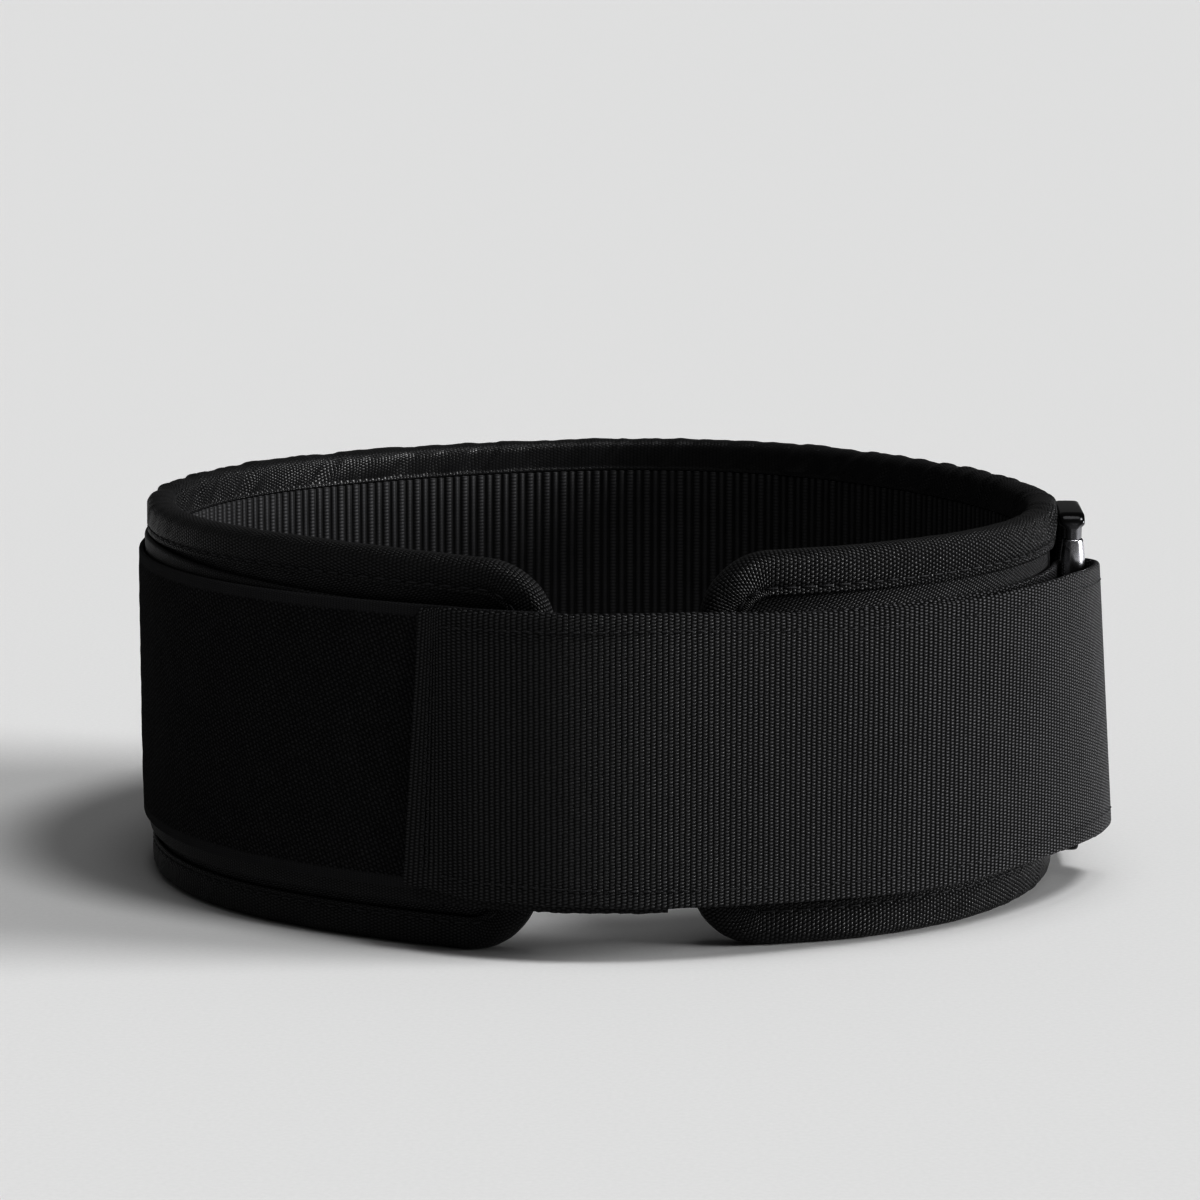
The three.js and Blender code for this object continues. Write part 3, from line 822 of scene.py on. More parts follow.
@dataclass(frozen=True)
class Buckle:
    """The roller buckle: two bars between flat rails, and a tube on the front bar."""

    place: float = 541.0
    spacing: float = 24.0
    bar: float = 4.4
    roller: float = 7.0
    roller_length: float = 79.0
    roller_sides: int = 64
    roller_rings: tuple[float, ...] = (0.45, 1.0, 2.0, 3.0, 4.2, 5.6, 7.2, 9.0)
    crown: float = 0.8
    crown_run: float = 10.0
    tall: float = 92.8
    corner: float = 2.6
    rail_height: float = 3.1
    rail_width: float = 6.8
    rail_set_in: float = 0.3
    rail_flatness: float = 0.55
    lug_height: float = 2.2
    lug_step: float = 0.4
    standoff: float = 8.6
    middle: float = 52.9
    lean_degrees: float = 3.7
    sides: int = 28
    corner_steps: int = 10

    @property
    def roller_centre(self) -> Array:
        """Returns the front bar's middle seen from above."""
        return PANEL.beside(self.place + self.spacing / 2, self.standoff)

    @property
    def fixed_centre(self) -> Array:
        """Returns the back bar's middle seen from above."""
        return PANEL.beside(self.place - self.spacing / 2, self.standoff)

    @property
    def forward(self) -> Array:
        """Returns the direction from the back bar to the front bar."""
        return unit(self.roller_centre - self.fixed_centre)

    @property
    def outward(self) -> Array:
        """Returns the buckle's direction away from the panel."""
        x, y = self.forward
        return np.array([-y, x])

    @property
    def lean(self) -> float:
        """Returns how far the strap leans out for each millimetre down."""
        return math.tan(math.radians(self.lean_degrees))

    def beside(self, middle: Array, ahead: Array, out: Array) -> Array:
        """Returns points seen from above that lie ahead of and out from a middle."""
        return middle + ahead[..., None] * self.forward + out[..., None] * self.outward

    def half_turn(
        self, centre: Array, radius: float, forward: int, slack: float, steps: int
    ) -> tuple[Array, Array]:
        """A half turn of webbing round a bar, from its inner to its outer side.

        Args:
            centre: the bar's middle.
            radius: the radius of the webbing's middle.
            forward: 1 when the free side faces the front, -1 when it faces the back.
            slack: how much further out the outer side lies.
            steps: how many steps the turn has.

        Returns:
            The points and each point's share of the turn.
        """
        angle = np.linspace(0, math.pi, steps + 1)
        share = (1 - np.cos(angle)) / 2
        out = slack * share - radius * np.cos(angle)
        ahead = forward * (radius + slack / 2) * np.sin(angle)
        return self.beside(centre, ahead, out), share

    def _frame_stations(self, wide: float, tall: float) -> list[tuple[float, float, float, float]]:
        """Returns how far ahead and up, the angle and the rail's share round the frame."""
        stations: list[tuple[float, float, float, float]] = []
        for corner, (side, up) in enumerate(((1, 1), (-1, 1), (-1, -1), (1, -1))):
            lugged = side < 0 < up
            for step in range(self.corner_steps + 1):
                angle = (math.pi / 2) * (corner + step / self.corner_steps)
                rail = 1.0 if lugged else float(smooth(2 * abs(math.sin(angle))))
                ahead = side * (wide - self.corner) + self.corner * math.cos(angle)
                rise = up * (tall - self.corner) + self.corner * math.sin(angle)
                stations.append((ahead, rise, angle, rail))
            if lugged:
                end = tall - self.corner - self.lug_height
                stations.append((-wide, end, math.pi, 1.0))
                stations.append((-wide, end - self.lug_step, math.pi, 0.0))
        return stations

    def frame_skin(self) -> Skin:
        """Returns the frame: a closed ring whose bars are round and whose rails are flat."""
        wide = float(np.linalg.norm(self.roller_centre - self.fixed_centre)) / 2
        middle = (self.roller_centre + self.fixed_centre) / 2
        stations = self._frame_stations(wide, (self.tall - self.rail_height) / 2)
        around = 2 * np.pi * np.arange(self.sides) / self.sides
        cos, sin = np.cos(around), np.sin(around)
        rings: list[Array] = []
        for ahead, rise, angle, rail in stations:
            thick = (self.bar + (self.rail_height - self.bar) * rail) / 2
            broad = (self.bar + (self.rail_width - self.bar) * rail) / 2
            flat = 1.0 - self.rail_flatness * rail
            away = thick * np.sign(cos) * np.abs(cos) ** flat
            out = broad * np.sign(sin) * np.abs(sin) ** flat - self.rail_set_in * rail
            seen = self.beside(middle, ahead + away * math.cos(angle), out)
            rings.append(np.column_stack([seen, self.middle + rise + away * math.sin(angle)]))
        # Each ring's share of painted reflection: full on the bars, none on the rails
        reflection_share = np.array([1.0 - rail for *_, rail in stations])[:, None, None]
        return tube(np.array(rings), np.broadcast_to(reflection_share, (len(rings), self.sides, 2)), closed=True)

    def roller_skin(self) -> Skin:
        """Returns the roller: a tube that narrows a little towards its rounded ends."""
        bore, face, half = self.bar / 2 + GAP, self.roller / 2, self.roller_length / 2
        from_end = np.array([*self.roller_rings, half - 1.0])
        crowned = face - self.crown * np.clip(1 - from_end / self.crown_run, 0, 1) ** 2
        side = np.column_stack([crowned, half - from_end])
        lip = [(crowned[0] - 0.12, half - 0.18), (crowned[0] - 0.3, half), (bore, half - 0.05)]
        upper = np.concatenate([side[::-1], lip])
        section = np.concatenate([upper, [(bore, 0)], upper[::-1] * (1, -1)])
        around = (2 * np.pi * np.arange(self.roller_sides) / self.roller_sides)[:, None]
        radius, rise = section.T
        flat = self.beside(self.roller_centre, radius * np.cos(around), radius * np.sin(around))
        height = np.broadcast_to(self.middle + rise, flat.shape[:2])
        points = np.concatenate([flat, height[..., None]], -1)
        return tube(points, np.zeros_like(flat), closed=True)

    def build(self) -> None:
        """Builds the frame and the roller."""
        self.frame_skin().piece("buckle_rails_and_bars", DARK_METAL, "buckle_frame")
        self.roller_skin().piece("buckle_tube", BRIGHT_METAL, "buckle_roller")


BUCKLE = Buckle()


@dataclass(frozen=True)
class PaddedPanel:
    """The foam panel's cover, its ribbed lining and the binding round its rim.

    The binding's section is given point by point, as out, share of its reach and share of
    the wrinkling: its outer side with the stitched groove, its inner side with a lip, and
    the hollow that closes it.
    """

    corner: float = 18.0
    wall: float = 1.0
    draw: float = 0.35
    draw_in: float = 10.5
    draw_width: float = 3.0
    swell: Wave = (0.12, 9.0, 3)
    swell_slant: float = 0.7
    layer_corner_steps: int = 8
    layer_selvedge: float = 0.8
    lining_thickness: float = 1.1
    rib_base: float = 0.25
    rib_height: float = 0.5
    rib_pair: float = 5.3
    wide_rib: float = 1.08
    narrow_rib: float = 0.82
    narrow_height: float = 0.9
    rib_fade: float = 4.0
    rib_sway: Wave = (0.06, 14.0, 5)
    binding_step: float = 1.1
    binding_reach: float = 9.05
    binding_grown: float = 2.1
    grown_from: Pair = (545.0, 557.0)
    corner_turns: int = 24
    gathers: tuple[Wave, ...] = ((0.2, 1.9, 21), (0.36, 3.6, 22), (0.2, 11.0, 23))
    quiet: tuple[Wave, ...] = ((0.05, 2.6, 24), (0.08, 9.0, 25))
    gather_slant: float = 0.9
    gather_wander: Wave = (1.2, 7.0, 11)
    gather_pull: float = 0.55
    gathered: Pair = (40.0, 676.0)
    gathered_more: tuple[Pair, ...] = ((120.0, 200.0), (600.0, 560.0))
    top_amount: Pair = (0.3, 1.5)
    low_amount: float = 0.35
    back_steps: int = 15
    back_round: float = 0.8
    back_depth: float = 0.34
    groove_share: float = 0.825
    groove_level: float = 3.5
    stitch: Thread = Thread(pitch=4.7, length=3.3, thick=0.3)
    outer_side: Rows = (
        (2.95, 1.0, 0.0), (3.35, 1.01, 0.0), (3.72, 0.99, 0.2), (3.82, 0.95, 0.3),
        (3.74, 0.89, 0.2), (3.46, 0.845, 0.0), (3.42, 0.82, 0.0), (3.7, 0.775, 0.3),
        (3.88, 0.7, 0.6), (3.92, 0.6, 0.8), (3.92, 0.48, 1.0),
    )
    inner_side: Rows = (
        (-3.92, 0.48, 1.0), (-3.9, 0.62, 0.9), (-3.84, 0.74, 0.7), (-3.74, 0.83, 0.5),
        (-3.7, 0.875, 0.3), (-3.86, 0.91, 0.2), (-3.98, 0.94, 0.2), (-3.98, 0.97, 0.2),
        (-3.8, 1.0, 0.1), (-3.4, 1.01, 0.0), (-2.95, 1.0, 0.0),
    )
    hollow: Rows = (
        (-2.95, 0.55, 0.0), (-2.9, 0.12, 0.0), (2.9, 0.12, 0.0), (2.95, 0.55, 0.0),
    )

    def _layer(
        self, inset: float, step: float, rows: int, inner: float, outer: float
    ) -> tuple[Array, Array, Array, Array]:
        """Stations and rings of a layer with rounded corners.

        Args:
            inset: how far its outline stands in from the rim.
            step: the distance between stations.
            rows: how many points each face has over its height.
            inner: the inner face's place out.
            outer: the outer face's place out.

        Returns:
            place, out and height of every point, and each point's side, -1 for the inner.
        """
        radius = self.corner - inset
        turned = np.linspace(0, math.pi / 2, self.layer_corner_steps + 1)[:-1]
        corner = inset + radius * (1 - np.cos(turned))
        sliver = 0.02
        corner[0] += sliver
        middle = np.arange(inset + radius, PANEL.length - inset - radius, step)
        place = np.concatenate([corner, middle, PANEL.length - corner[::-1]])
        low = PANEL.edge(place, inset, radius)
        thick = outer - inner
        weft = Weft(thick, rows, selvedge=min(self.layer_selvedge, thick / 2))
        across, side = weft.ring((PANEL.height - 2 * low)[:, None])
        return place[:, None], side + (inner + outer) / 2, low[:, None] + across, np.sign(side)

    def cover(self) -> None:
        """Builds the foam's cover, drawn in a little along the binding."""
        place, out, height, side = self._layer(self.wall + GAP, 4.0, 30, -CORE_FACE, CORE_FACE)
        from_rim = np.minimum(height, PANEL.height - height)
        drawn = self.draw * np.exp(-(((from_rim - self.draw_in) / self.draw_width) ** 2))
        amount, grain, seed = self.swell
        drawn = drawn + amount * (1 + loose(place + height * self.swell_slant, grain, seed))
        points = PANEL.on(place, out - side * drawn * (np.abs(side) > 0.5), height)
        skin = tube(points, paired(place, height), closed=False)
        skin.piece("panel_cover", COVER, "panel_core")

    def _rib(self, place: Array) -> Array:
        """Returns the lining's rib height, from 0 to 1, at a place."""
        wide = (place + self.rib_pair / 2) % self.rib_pair - self.rib_pair / 2
        narrow = place % self.rib_pair - self.rib_pair / 2
        tall = np.sqrt(np.clip(1 - (wide / self.wide_rib) ** 2, 0, 1))
        small = self.narrow_height * np.sqrt(np.clip(1 - (narrow / self.narrow_rib) ** 2, 0, 1))
        return np.maximum(tall, small)

    def lining(self) -> None:
        """Builds the ribbed lining on the waist side."""
        inset = REACH + GAP
        face = SEAT + self.lining_thickness - self.rib_base
        place, out, height, side = self._layer(inset, 0.36, 11, -face, -SEAT)
        sway = ruffled(height + place * 0.02, self.rib_sway)
        raised = self.rib_height * self._rib(place + sway) * (side < 0)
        from_edge = height - PANEL.edge(place, inset, self.corner - inset)
        risen = np.clip(np.minimum(from_edge / self.rib_fade, 1.0) + 0.3, 0, 1)
        points = PANEL.on(place, out - raised * risen, height)
        skin = tube(points, paired(place, height), closed=False)
        lining = skin.piece("ribbed_lining", LINING, "inner_lining")

    def _rim(self) -> tuple[Array, Array, Array, Array, Array]:
        """Stations round the rim, starting in the middle of the lower edge.

        Returns:
            run, place, height, and the way in from the edge along place and height.
        """
        radius = self.corner
        span, rise = PANEL.length - 2 * radius, PANEL.height - 2 * radius
        legs = (
            (radius, 0.0, 1, 0, span),
            (PANEL.length, radius, 0, 1, rise),
            (PANEL.length - radius, PANEL.height, -1, 0, span),
            (0.0, PANEL.height - radius, 0, -1, rise),
        )
        turns = np.linspace(0, math.pi / 2, self.corner_turns, endpoint=False)
        blocks: list[Array] = []
        for leg, (x, z, dx, dz, far) in enumerate(legs):
            share = np.linspace(0, far, int(far / self.binding_step), endpoint=False)
            still = 0 * share
            blocks.append(np.column_stack([x + dx * share, z + dz * share, still - dz, still + dx]))
            x, z = x + dx * far - dz * radius, z + dz * far + dx * radius
            angle = math.radians(90.0 * leg - 90.0) + turns
            cos, sin = np.cos(angle), np.sin(angle)
            blocks.append(np.column_stack([x + radius * cos, z + radius * sin, -cos, -sin]))
        rows = np.roll(np.concatenate(blocks), -int(span / self.binding_step) // 2, axis=0)
        return run_of(rows[:, :2]), *rows.T

    def _outer_reach(self, place: Array) -> Array:
        """Returns how far the binding reaches in from the edge on its outer side."""
        return self.binding_reach + self.binding_grown * ramp(place, *self.grown_from)

    def _section(self) -> Array:
        """Returns the binding's ring as out, share of the reach and share of wrinkling."""
        angles = np.linspace(0, math.pi, self.back_steps)
        cos, sin = np.cos(angles), np.maximum(np.sin(angles), 0)
        out = HALF_RIM * np.sign(cos) * np.abs(cos) ** self.back_round
        share = self.back_depth * (1 - sin**self.back_round)
        back = np.column_stack([out, share, np.ones_like(out)])
        return np.concatenate([self.outer_side, back, self.inner_side, self.hollow])

    def binding(self) -> None:
        """Builds the rolled edge tape with its gathers."""
        run, place, height, in_place, in_height = (v[:, None] for v in self._rim())
        ring = self._section()
        out, share, soft = ring.T[:, None]
        depth = share * np.where(out > 0, self._outer_reach(place), self.binding_reach)
        first, last = self.gathered
        top = (height > PANEL.height / 2) & (place > first) & (place < last)
        back = math.prod(ramp(place, *ends) for ends in self.gathered_more)
        slanted = run + self.gather_slant * depth * np.sign(out + TINY)
        slanted = slanted + ruffled(run, self.gather_wander)
        least, more = self.top_amount
        amount = np.where(top, least + more * back, self.low_amount)
        wrinkle = soft * (ruffled(slanted, *self.gathers) * amount + ruffled(slanted, *self.quiet))
        bent_out = out + wrinkle * np.sign(out) * np.minimum(np.abs(out) / 3.0, 1.0)
        on_rim = 1 - np.minimum(np.abs(out) / HALF_RIM, 1.0)
        bent_depth = depth - self.gather_pull * wrinkle * on_rim
        points = PANEL.on(place + in_place * bent_depth, bent_out, height + in_height * bent_depth)
        round_it = run_of(ring[:, :2] * (1.0, 9.0))
        skin = tube(points, paired(run, round_it), closed=True)
        binding = skin.piece("rolled_binding", BINDING, "edge_binding")

    def stitches(self) -> None:
        """Sews the stitches that hold the binding, in the groove on its outer side."""
        _, place, height, in_place, in_height = self._rim()
        depth = self.groove_share * self._outer_reach(place)
        line, far = (
            PANEL.on(place + in_place * depth, out, height + in_height * depth)
            for out in (self.groove_level, self.groove_level + 1.0)
        )
        skin = self.stitch.sew(line, far - line, seed=31)
        skin.piece("binding_stitches", THREAD, slot=BINDING.slot)

    def build(self) -> None:
        """Builds the panel's pieces."""
        self.cover()
        self.lining()
        self.binding()
        self.stitches()


@dataclass(frozen=True)
class FrontLine:
    """The line that the strap and the tapes follow over the front of the belt."""

    contact_from_right: float = 79.0
    lift_run: float = 54.0
    climb_lead: float = 6.0
    base_inset: float = 26.0
    follows: Pair = (0.27, 0.33)
    bridge_steps: int = 800
    strap: float = 1.7

    @property
    def contact(self) -> float:
        """Returns the place where the strap meets the right panel."""
        return PANEL.length - self.contact_from_right

    @property
    def roller_place(self) -> float:
        """Returns the roller's place along the panel."""
        return BUCKLE.place + BUCKLE.spacing / 2

    @property
    def turn_radius(self) -> float:
        """Returns the radius of the strap's middle round the roller."""
        return BUCKLE.roller / 2 + GAP + self.strap / 2

    def over_end(self, place: Array) -> Array:
        """Returns the seat's level over the panel's left end."""
        climbed = ramp(place, self.base_inset, REACH + self.climb_lead)
        return SEAT + (OVER_BINDING - SEAT) * climbed

    def before_roller(self, place: Array) -> Array:
        """Returns the seat's level on the way to the roller."""
        lifted = BUCKLE.standoff - self.turn_radius - self.strap / 2
        share = ramp(place, self.roller_place + self.lift_run, self.roller_place)
        return SEAT + (lifted - SEAT) * share

    def bridge(self) -> tuple[Array, Array]:
        """Returns fine points over the gap and their distances."""
        start = PANEL.beside(0.0, OVER_BINDING)
        finish = PANEL.beside(self.contact, self.before_roller(self.contact))
        reach = float(np.linalg.norm(finish - start))
        aims = []
        for place in (0.0, self.contact):
            heading = float(PANEL.plan(place)[2])
            aims.append(np.array([-math.cos(heading), -math.sin(heading)]))
        one = start + aims[0] * reach * self.follows[0]
        two = finish - aims[1] * reach * self.follows[1]
        t = np.linspace(0, 1, self.bridge_steps + 1)[:, None]
        s = 1 - t
        curve = s**3 * start + 3 * s**2 * t * one + 3 * s * t**2 * two + t**3 * finish
        return curve, run_of(curve)

    @property
    def total(self) -> float:
        """Returns the length of the strap's inner run past the panel's left end."""
        return float(self.bridge()[1][-1]) + self.contact - self.roller_place

    def at(self, distance: Array, out: Array) -> Array:
        """Points of the line.

        Args:
            distance: distances past the panel's left end, towards the roller.
            out: the level over the strap's inner face.

        Returns:
            The points seen from above, as (n, 2).
        """
        curve, lengths = self.bridge()
        distance, out = np.broadcast_arrays(distance, out)
        before = PANEL.beside(-distance, self.over_end(-distance) + out)
        place = self.contact - (distance - lengths[-1])
        after = PANEL.beside(place, self.before_roller(place) + out)
        along = read(distance, lengths, unit(np.gradient(curve, axis=0)))
        over = read(distance, lengths, curve) + along[:, ::-1] * (1, -1) * out[:, None]
        result = np.where((distance <= 0)[:, None], before, over)
        return np.where((distance >= lengths[-1])[:, None], after, result)

    def lean(self, distance: Array) -> Array:
        """Returns how fully the strap leans at each distance."""
        return ramp(distance, self.total - self.lift_run, self.total)


@dataclass(frozen=True)
class Wear:
    """The strap's soft dents and uneven edges."""

    dent: float = -0.25
    dent_at: Pair = (15.0, 52.0)
    dent_size: Pair = (9.0, 16.0)
    high_edge: tuple[Wave, ...] = ((0.1, 1.5, 53), (0.18, 12.0, 54))
    high_from: Pair = (60.0, 72.0)
    low_edge: tuple[Wave, ...] = ((0.1, 1.7, 55), (0.2, 14.0, 56))
    low_from: Pair = (10.0, 0.0)
    swell: Wave = (0.12, 26.0, 51)
    slanted_swell: Wave = (0.08, 15.0, 52)
    swell_slant: float = 0.4
    swell_from: float = 8.0

    def relief(self, distance: Array, across: Array) -> Array:
        """How far the strap is pushed out.

        Args:
            distance: each station's distance past the panel's left end.
            across: each point's distance from the low edge.

        Returns:
            The way out along the normal.
        """
        off = [(v - at) / size for v, at, size in zip((distance, across), self.dent_at, self.dent_size)]
        dent = self.dent * np.exp(-(off[0] ** 2) - off[1] ** 2)
        waves = ruffled(distance, self.swell)
        waves = waves + ruffled(distance + across * self.swell_slant, self.slanted_swell)
        return dent + waves * np.clip(across / self.swell_from, 0, 1)

    def drift(self, distance: Array, across: Array) -> Array:
        """Returns how far the strap's edges wander up, for relief's values."""
        high = ruffled(distance, *self.high_edge) * ramp(across, *self.high_from)
        return high + ruffled(distance, *self.low_edge) * ramp(across, *self.low_from)


@dataclass(frozen=True)
class Webbing:
    """The base webbing, the strap and the two tapes that close it.

    The course follows the strap's outer run from its tip to the roller. Each row is a
    share of that way, and the width and the shift up in widths of the strap.
    """

    line: FrontLine = FrontLine()
    wear: Wear = Wear()
    base_thickness: float = 1.7
    base_low: float = 11.2
    base_high: float = 92.2
    base_sink: float = 4.0
    base_sinks: Pair = (150.0, 40.0)
    base_ride: float = 3.4
    base_ride_reach: float = 1.35
    base_row: Thread = Thread()
    base_row_insets: Pair = (3.2, 77.8)
    base_row_run: Pair = (258.0, 430.0)
    end_rows: tuple[float, ...] = (3.5, 8.5, 40.0)
    end_row_span: Pair = (5.0, 76.0)
    base_step: float = 2.0
    leg_steps: int = 20
    turn_steps: tuple[int, int] = (16, 20)
    fold_back: float = 52.0
    strap_width: float = 76.2
    tip_place: float = 34.2
    tip_skew: float = 5.0
    tip_skew_run: float = 12.0
    fold_slack: float = 3.9
    strap_row: Thread = Thread(pitch=3.1, length=2.2, thick=0.2)
    strap_row_inset: float = 4.6
    strap_row_run: Pair = (260.0, 5.0)
    tip_rows: tuple[float, ...] = (5.4, 6.6)
    tip_row_insets: Pair = (5.0, 4.0)
    row_step: float = 1.5
    loop_width: float = 72.8
    loop_thickness: float = 1.3
    loop_tuck: float = 1.6
    loop_tucks: Pair = (0.0, 25.0)
    loop_back: float = 270.0
    loop_reach: float = 0.42
    loop_border: Pair = (3.0, 4.5)
    loop_step: float = 1.5
    pile: float = 0.1
    hook_width: float = 73.2
    hook_thickness: float = 1.4
    hook_length: float = 61.5
    hook_tip_inset: float = 3.0
    hook_drop: float = 1.5
    hook_step: float = 0.8
    hook_share: float = 0.3
    hook_edge: tuple[Wave, ...] = ((0.16, 1.2, 61), (0.1, 8.0, 62))
    course: Rows = (
        (0.0, 0.934, 0.02), (0.1, 0.96, 0.0125), (0.3, 0.975, 0.0085),
        (0.58, 0.965, -0.0135), (0.85, 0.956, 0.008), (1.0, 0.94, -0.004),
    )
    inner_width: float = 0.95
    inner_shift: float = -0.012
    inner_step: float = 3.0

    @property
    def loop_level(self) -> float:
        """Returns the loop tape's level over the strap's inner face."""
        return self.line.strap + GAP

    @property
    def hook_level(self) -> float:
        """Returns the hook tape's level."""
        return self.loop_level + self.loop_thickness + GAP

    @property
    def outer_level(self) -> float:
        """Returns the strap's outer run's level at the tapes."""
        return self.hook_level + self.hook_thickness + GAP

    def strap_edges(self, share: Array) -> tuple[Array, Array]:
        """Returns the strap's low and high edges at shares of its outer run."""
        share = np.atleast_1d(share)
        table = np.array(self.course)
        index = np.clip(np.searchsorted(table[:, 0], share, "left"), 1, len(table) - 1)
        before, after = table[index - 1].T, table[index].T
        blend = ramp(share, before[0], after[0])
        width, shift = self.strap_width * (before[1:] + (after[1:] - before[1:]) * blend)
        middle = PANEL.height / 2 + shift
        return middle - width / 2, middle + width / 2

    def base(self) -> None:
        """Builds the webbing sewn round the panel and folded round the fixed bar."""
        middle = SEAT + self.base_thickness / 2
        radius = BUCKLE.bar / 2 + GAP + self.base_thickness / 2
        bar = BUCKLE.place - BUCKLE.spacing / 2
        lift = bar - self.line.lift_run
        seated = np.arange(self.line.base_inset, lift, self.base_step)
        share = np.linspace(0, 1, self.leg_steps, endpoint=False)
        sewn = middle + self.base_thickness + GAP
        leg, back = (
            PANEL.beside(lift + (bar - lift) * share, level + (to - level) * smooth(share))
            for level, to in ((middle, BUCKLE.standoff - radius), (sewn, BUCKLE.standoff + radius))
        )
        turn, _ = BUCKLE.half_turn(BUCKLE.fixed_centre, radius, 1, 0.0, self.turn_steps[0])
        tail = PANEL.beside(lift - np.arange(self.base_step, self.fold_back + 1, self.base_step), sewn)
        path = np.concatenate([PANEL.beside(seated, middle), leg, turn, back[::-1], tail])
        low, high = np.full(len(path), self.base_low), np.full(len(path), self.base_high)
        flat = slice(len(seated))
        low[flat], high[flat] = (PANEL.squeezed(seated, edge[flat]) for edge in (low, high))
        high[flat] -= self.base_sink * ramp(seated, *self.base_sinks)
        half = len(leg) + len(turn) / 2
        from_bar = np.abs(np.arange(len(path)) - len(seated) - half)
        ridden = self.base_ride * smooth(self.base_ride_reach - from_bar / half)
        course = Course(path, low + ridden, high + ridden)
        skin = course.skin(Weft(self.base_thickness, rows=26))
        webbing = skin.piece("panel_webbing", BASE, "base_webbing")
        self._base_rows(course)

    def _base_rows(self, course: Course) -> None:
        """Sews the base webbing down along both edges and across its folded end."""
        face, end = self.base_thickness / 2, course.run[-1]
        run = np.arange(*self.base_row_run, self.base_step)
        across = np.arange(*self.end_row_span, self.base_step)
        edges = [course.stitched(self.base_row, run, inset, face) for inset in self.base_row_insets]
        ends = [course.stitched(self.base_row, end - back, across, -face) for back in self.end_rows]
        join(edges + ends).piece("webbing_stitches", THREAD, slot=BASE.slot)

    def loops(self) -> None:
        """Builds the loop tape with its napped face and smooth selvedges."""
        end = self.line.total * self.loop_reach
        distance = np.arange(-self.loop_back, end + self.loop_step, self.loop_step)
        distance[-1] = end
        path = self.line.at(distance, self.loop_level + self.loop_thickness / 2)
        middle, half = (self.base_low + self.base_high) / 2, self.loop_width / 2
        tuck = self.loop_tuck * ramp(distance, *self.loop_tucks)
        course = Course(path, middle - half, middle + half - tuck)
        weft = Weft(self.loop_thickness, rows=34, selvedge=0.7)
        run = course.run[:, None]
        across, out = weft.ring(course.width(run))
        edge = np.minimum(across, course.width(run) - across)
        lumps = loose(run + across * 0.31, 2.3, 41) + loose(across - 0.27 * run, 2.9, 42)
        level = -ramp(edge, *self.loop_border) * self.pile * (1.0 + lumps) * (out < 0)
        tape = course.skin(weft, relief=level).piece("loop_face_tape", PILE, "loop_tape")

    def strap(self) -> None:
        """Builds the strap from its sewn end, round the roller and back to its tip."""
        half, total = self.line.strap / 2, self.line.total
        inner = np.arange(GAP - self.line.base_inset, total, self.inner_step)
        centre, radius = BUCKLE.roller_centre, self.line.turn_radius
        turn, share = BUCKLE.half_turn(centre, radius, -1, self.fold_slack, self.turn_steps[1])
        outer = np.append(np.arange(total - 1.0, -self.tip_place, -1.0), -self.tip_place)
        loop_end = total * self.loop_reach
        lift = np.clip((outer - loop_end) / (total - loop_end), 0, 1)
        level = self.outer_level + (2 * radius + self.fold_slack - self.outer_level) * lift
        path = np.concatenate([self.line.at(inner, half), turn, self.line.at(outer, level + half)])

        def joined(first: Array, second: Array, third: Array) -> Array:
            """Returns values of the inner run, the turn and the outer run as one row."""
            parts = zip((first, second, third), (inner, share, outer))
            return np.concatenate([np.broadcast_to(values, part.shape) for values, part in parts])

        middle = PANEL.height / 2 + self.strap_width * self.inner_shift
        tall = self.strap_width * self.inner_width
        starts = (middle - tall / 2, middle + tall / 2)
        folds = self.strap_edges(1.0)
        ends = self.strap_edges((outer + self.tip_place) / (total + self.tip_place))
        low, high = (
            joined(start, start + (fold - start) * share, end)
            for start, fold, end in zip(starts, folds, ends)
        )
        skew = -self.tip_skew * ramp(outer, self.tip_skew_run - self.tip_place, -self.tip_place)
        lean, slip = joined(0.0, share, self.line.lean(outer)), joined(0.0, 0.0, skew)
        course = Course(path, low, high, lean, slip)
        weft = Weft(self.line.strap, rows=40, selvedge=0.9)
        across, _ = weft.ring(course.width(course.run[:, None]))
        distance, seen = joined(inner, total, outer)[:, None], joined(0.0, 0.0, 1.0)[:, None]
        relief, drift = (seen * way(distance, across) for way in (self.wear.relief, self.wear.drift))
        skin = course.skin(weft, relief, drift)
        strap = skin.piece("closing_webbing", STRAP, "closing_strap")
        self._strap_rows(course)

    def _strap_rows(self, course: Course) -> None:
        """Sews the strap's rows along both edges and across its tip."""
        face, end, inset = self.line.strap / 2, course.run[-1], self.strap_row_inset
        first, last = self.strap_row_run
        run = np.arange(end - first, end - last, self.row_step)
        skins = [
            course.stitched(self.strap_row, run, across, face)
            for across in (np.full_like(run, inset), course.width(run) - inset)
        ]
        low, high = self.tip_row_insets
        for from_tip in self.tip_rows:
            across = np.arange(low, float(course.width(end - from_tip)) - high, self.row_step)
            skins.append(course.stitched(self.strap_row, end - from_tip, across, face))
        join(skins).piece("strap_stitches", THREAD, slot=STRAP.slot)

    def hooks(self) -> None:
        """Builds the hook tape under the strap's tip, with its ragged lower edge."""
        start = -self.tip_place + self.hook_tip_inset
        distance = np.arange(start, start + self.hook_length + 0.5, self.hook_step)
        path = self.line.at(distance, self.hook_level + self.hook_thickness / 2)
        low = float(self.strap_edges(self.hook_share)[0][0]) - self.hook_drop
        course = Course(path, low + ruffled(distance, *self.hook_edge), low + self.hook_width)
        skin = course.skin(Weft(self.hook_thickness, rows=18, selvedge=0.6))
        tape = skin.piece("hook_face_tape", HOOKS, "hook_tape")

    def build(self) -> None:
        """Builds the webbing's pieces."""
        self.base()
        self.loops()
        self.strap()
        self.hooks()


@dataclass(frozen=True)
class Lamp:
    """A wide lamp far away: where it stands seen from the belt, and its light."""

    name: str
    azimuth: float
    elevation: float
    strength: float
    wide: float


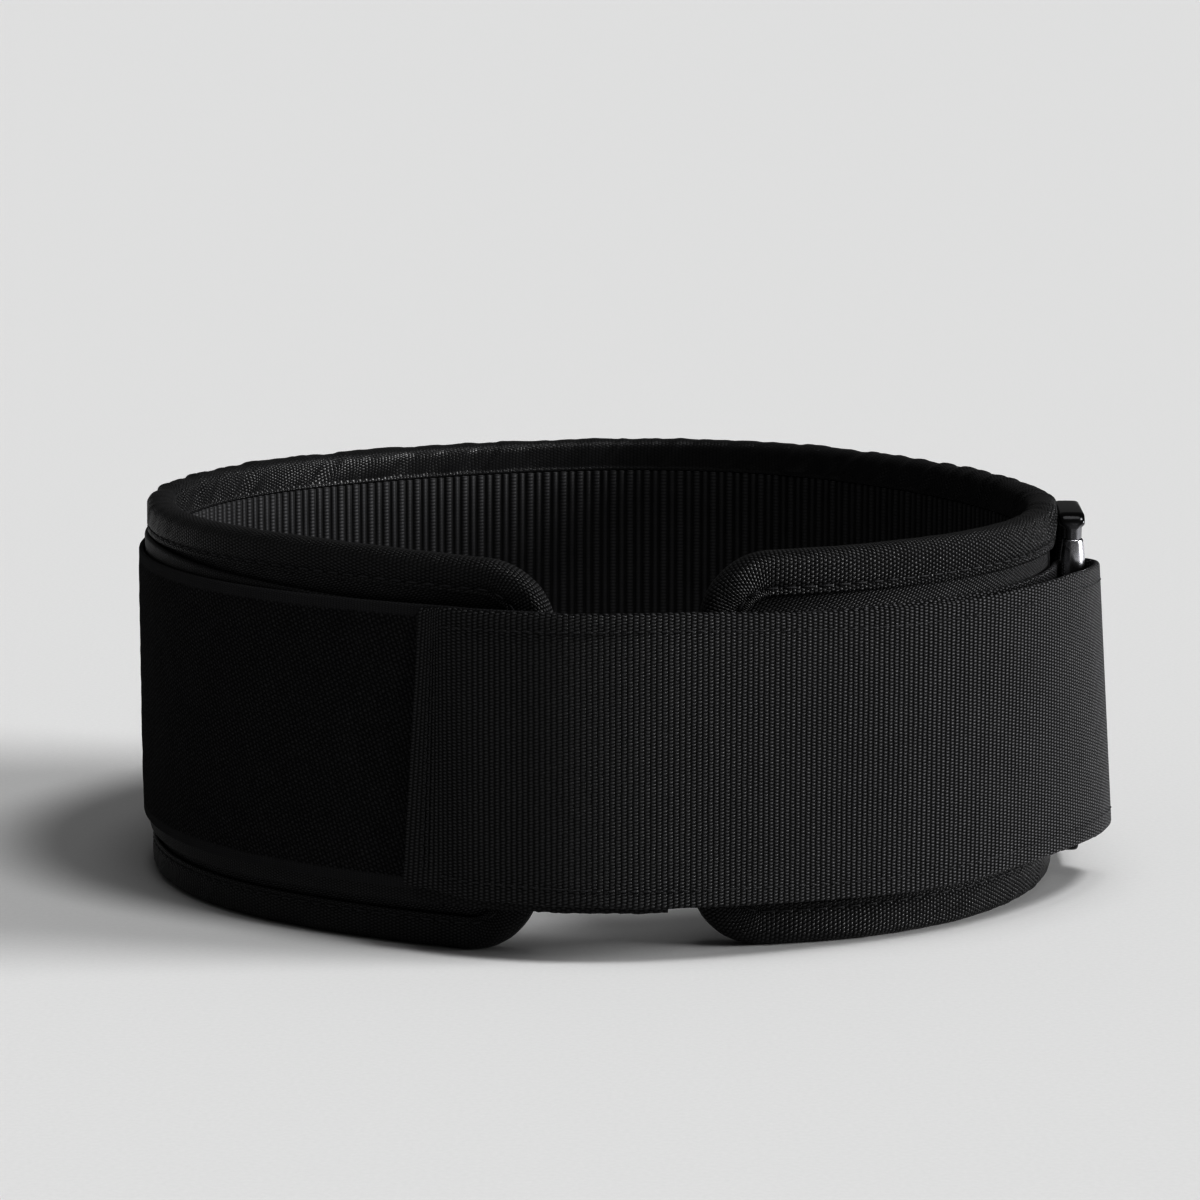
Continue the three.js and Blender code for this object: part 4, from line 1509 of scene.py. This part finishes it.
@dataclass(frozen=True)
class Studio:
    """The pale floor, the lamps and the camera."""

    target: tuple[float, float, float] = (-6.3, -0.56, 71.8)
    elevation: float = 9.5
    distance: float = 1100.0
    lens: float = 120.285
    sensor: float = 36.0
    farthest: float = 200.0
    floor_metres: float = 60.0
    floor_tone: float = 0.723
    floor_mottle: float = 0.03
    ambient: float = 0.17
    contrast: float = 0.62
    lamps: tuple[Lamp, ...] = (
        Lamp("key", -33.0, 62.0, 1.47, 15.0),
        Lamp("fill", -6.0, 14.0, 4.9, 22.0),
        Lamp("top", -90.0, 84.0, 0.58, 26.0),
    )

    def floor(self) -> None:
        """Lays the floor."""
        mesh = bpy.data.meshes.new("floor")
        corners = ((-1, -1), (1, -1), (1, 1), (-1, 1))
        spots = [(x * self.floor_metres, y * self.floor_metres, 0) for x, y in corners]
        mesh.from_pydata(spots, [], [(0, 1, 2, 3)])
        paint = Paint("pale floor", Roughness=1.0, Specular_IOR_Level=0.0)
        tone = grey(self.floor_tone, 1.0)
        dark, light = (scaled(tone, 1.0 + sign * self.floor_mottle) for sign in (-1, 1))
        paint.tint(paint.noise(1.2), dark, light)
        mesh.materials.append(paint.material)
        placed("floor", mesh)

    def light(self) -> None:
        """Sets the lamps and the dim room."""
        for lamp in self.lamps:
            data = bpy.data.lights.new(lamp.name, "SUN")
            data.energy = lamp.strength
            data.angle = math.radians(lamp.wide)
            tilt, turn = math.radians(90 - lamp.elevation), math.radians(lamp.azimuth)
            placed(lamp.name, data).rotation_euler = (0.0, tilt, turn)
        world = bpy.data.worlds.new("room")
        world.use_nodes = True
        ground = world.node_tree.nodes["Background"]
        ground.inputs["Color"].default_value = (1, 1, 1, 1)
        ground.inputs["Strength"].default_value = self.ambient
        bpy.context.scene.world = world

    def camera(self) -> None:
        """Sets the camera."""
        data = bpy.data.cameras.new("camera")
        data.sensor_width = self.sensor
        data.lens = self.lens
        data.clip_end = self.farthest
        thing = placed("camera", data)
        rise = math.radians(self.elevation)
        x, y, z = self.target
        place = (x, y - self.distance * math.cos(rise), z + self.distance * math.sin(rise))
        thing.location = Vector(place) * MM
        thing.rotation_euler = (math.radians(90) - rise, 0.0, 0.0)
        bpy.context.scene.camera = thing

    def build(self) -> None:
        """Builds the studio."""
        view = bpy.context.scene.view_settings
        view.view_transform = "Standard"
        view.gamma = self.contrast
        self.floor()
        self.light()
        self.camera()


def main() -> None:
    """Builds everything in order."""
    logging.basicConfig(level=logging.INFO, format="%(name)s: %(message)s")
    Studio().build()
    PaddedPanel().build()
    Webbing().build()
    BUCKLE.build()


if __name__ == "__main__":
    main()
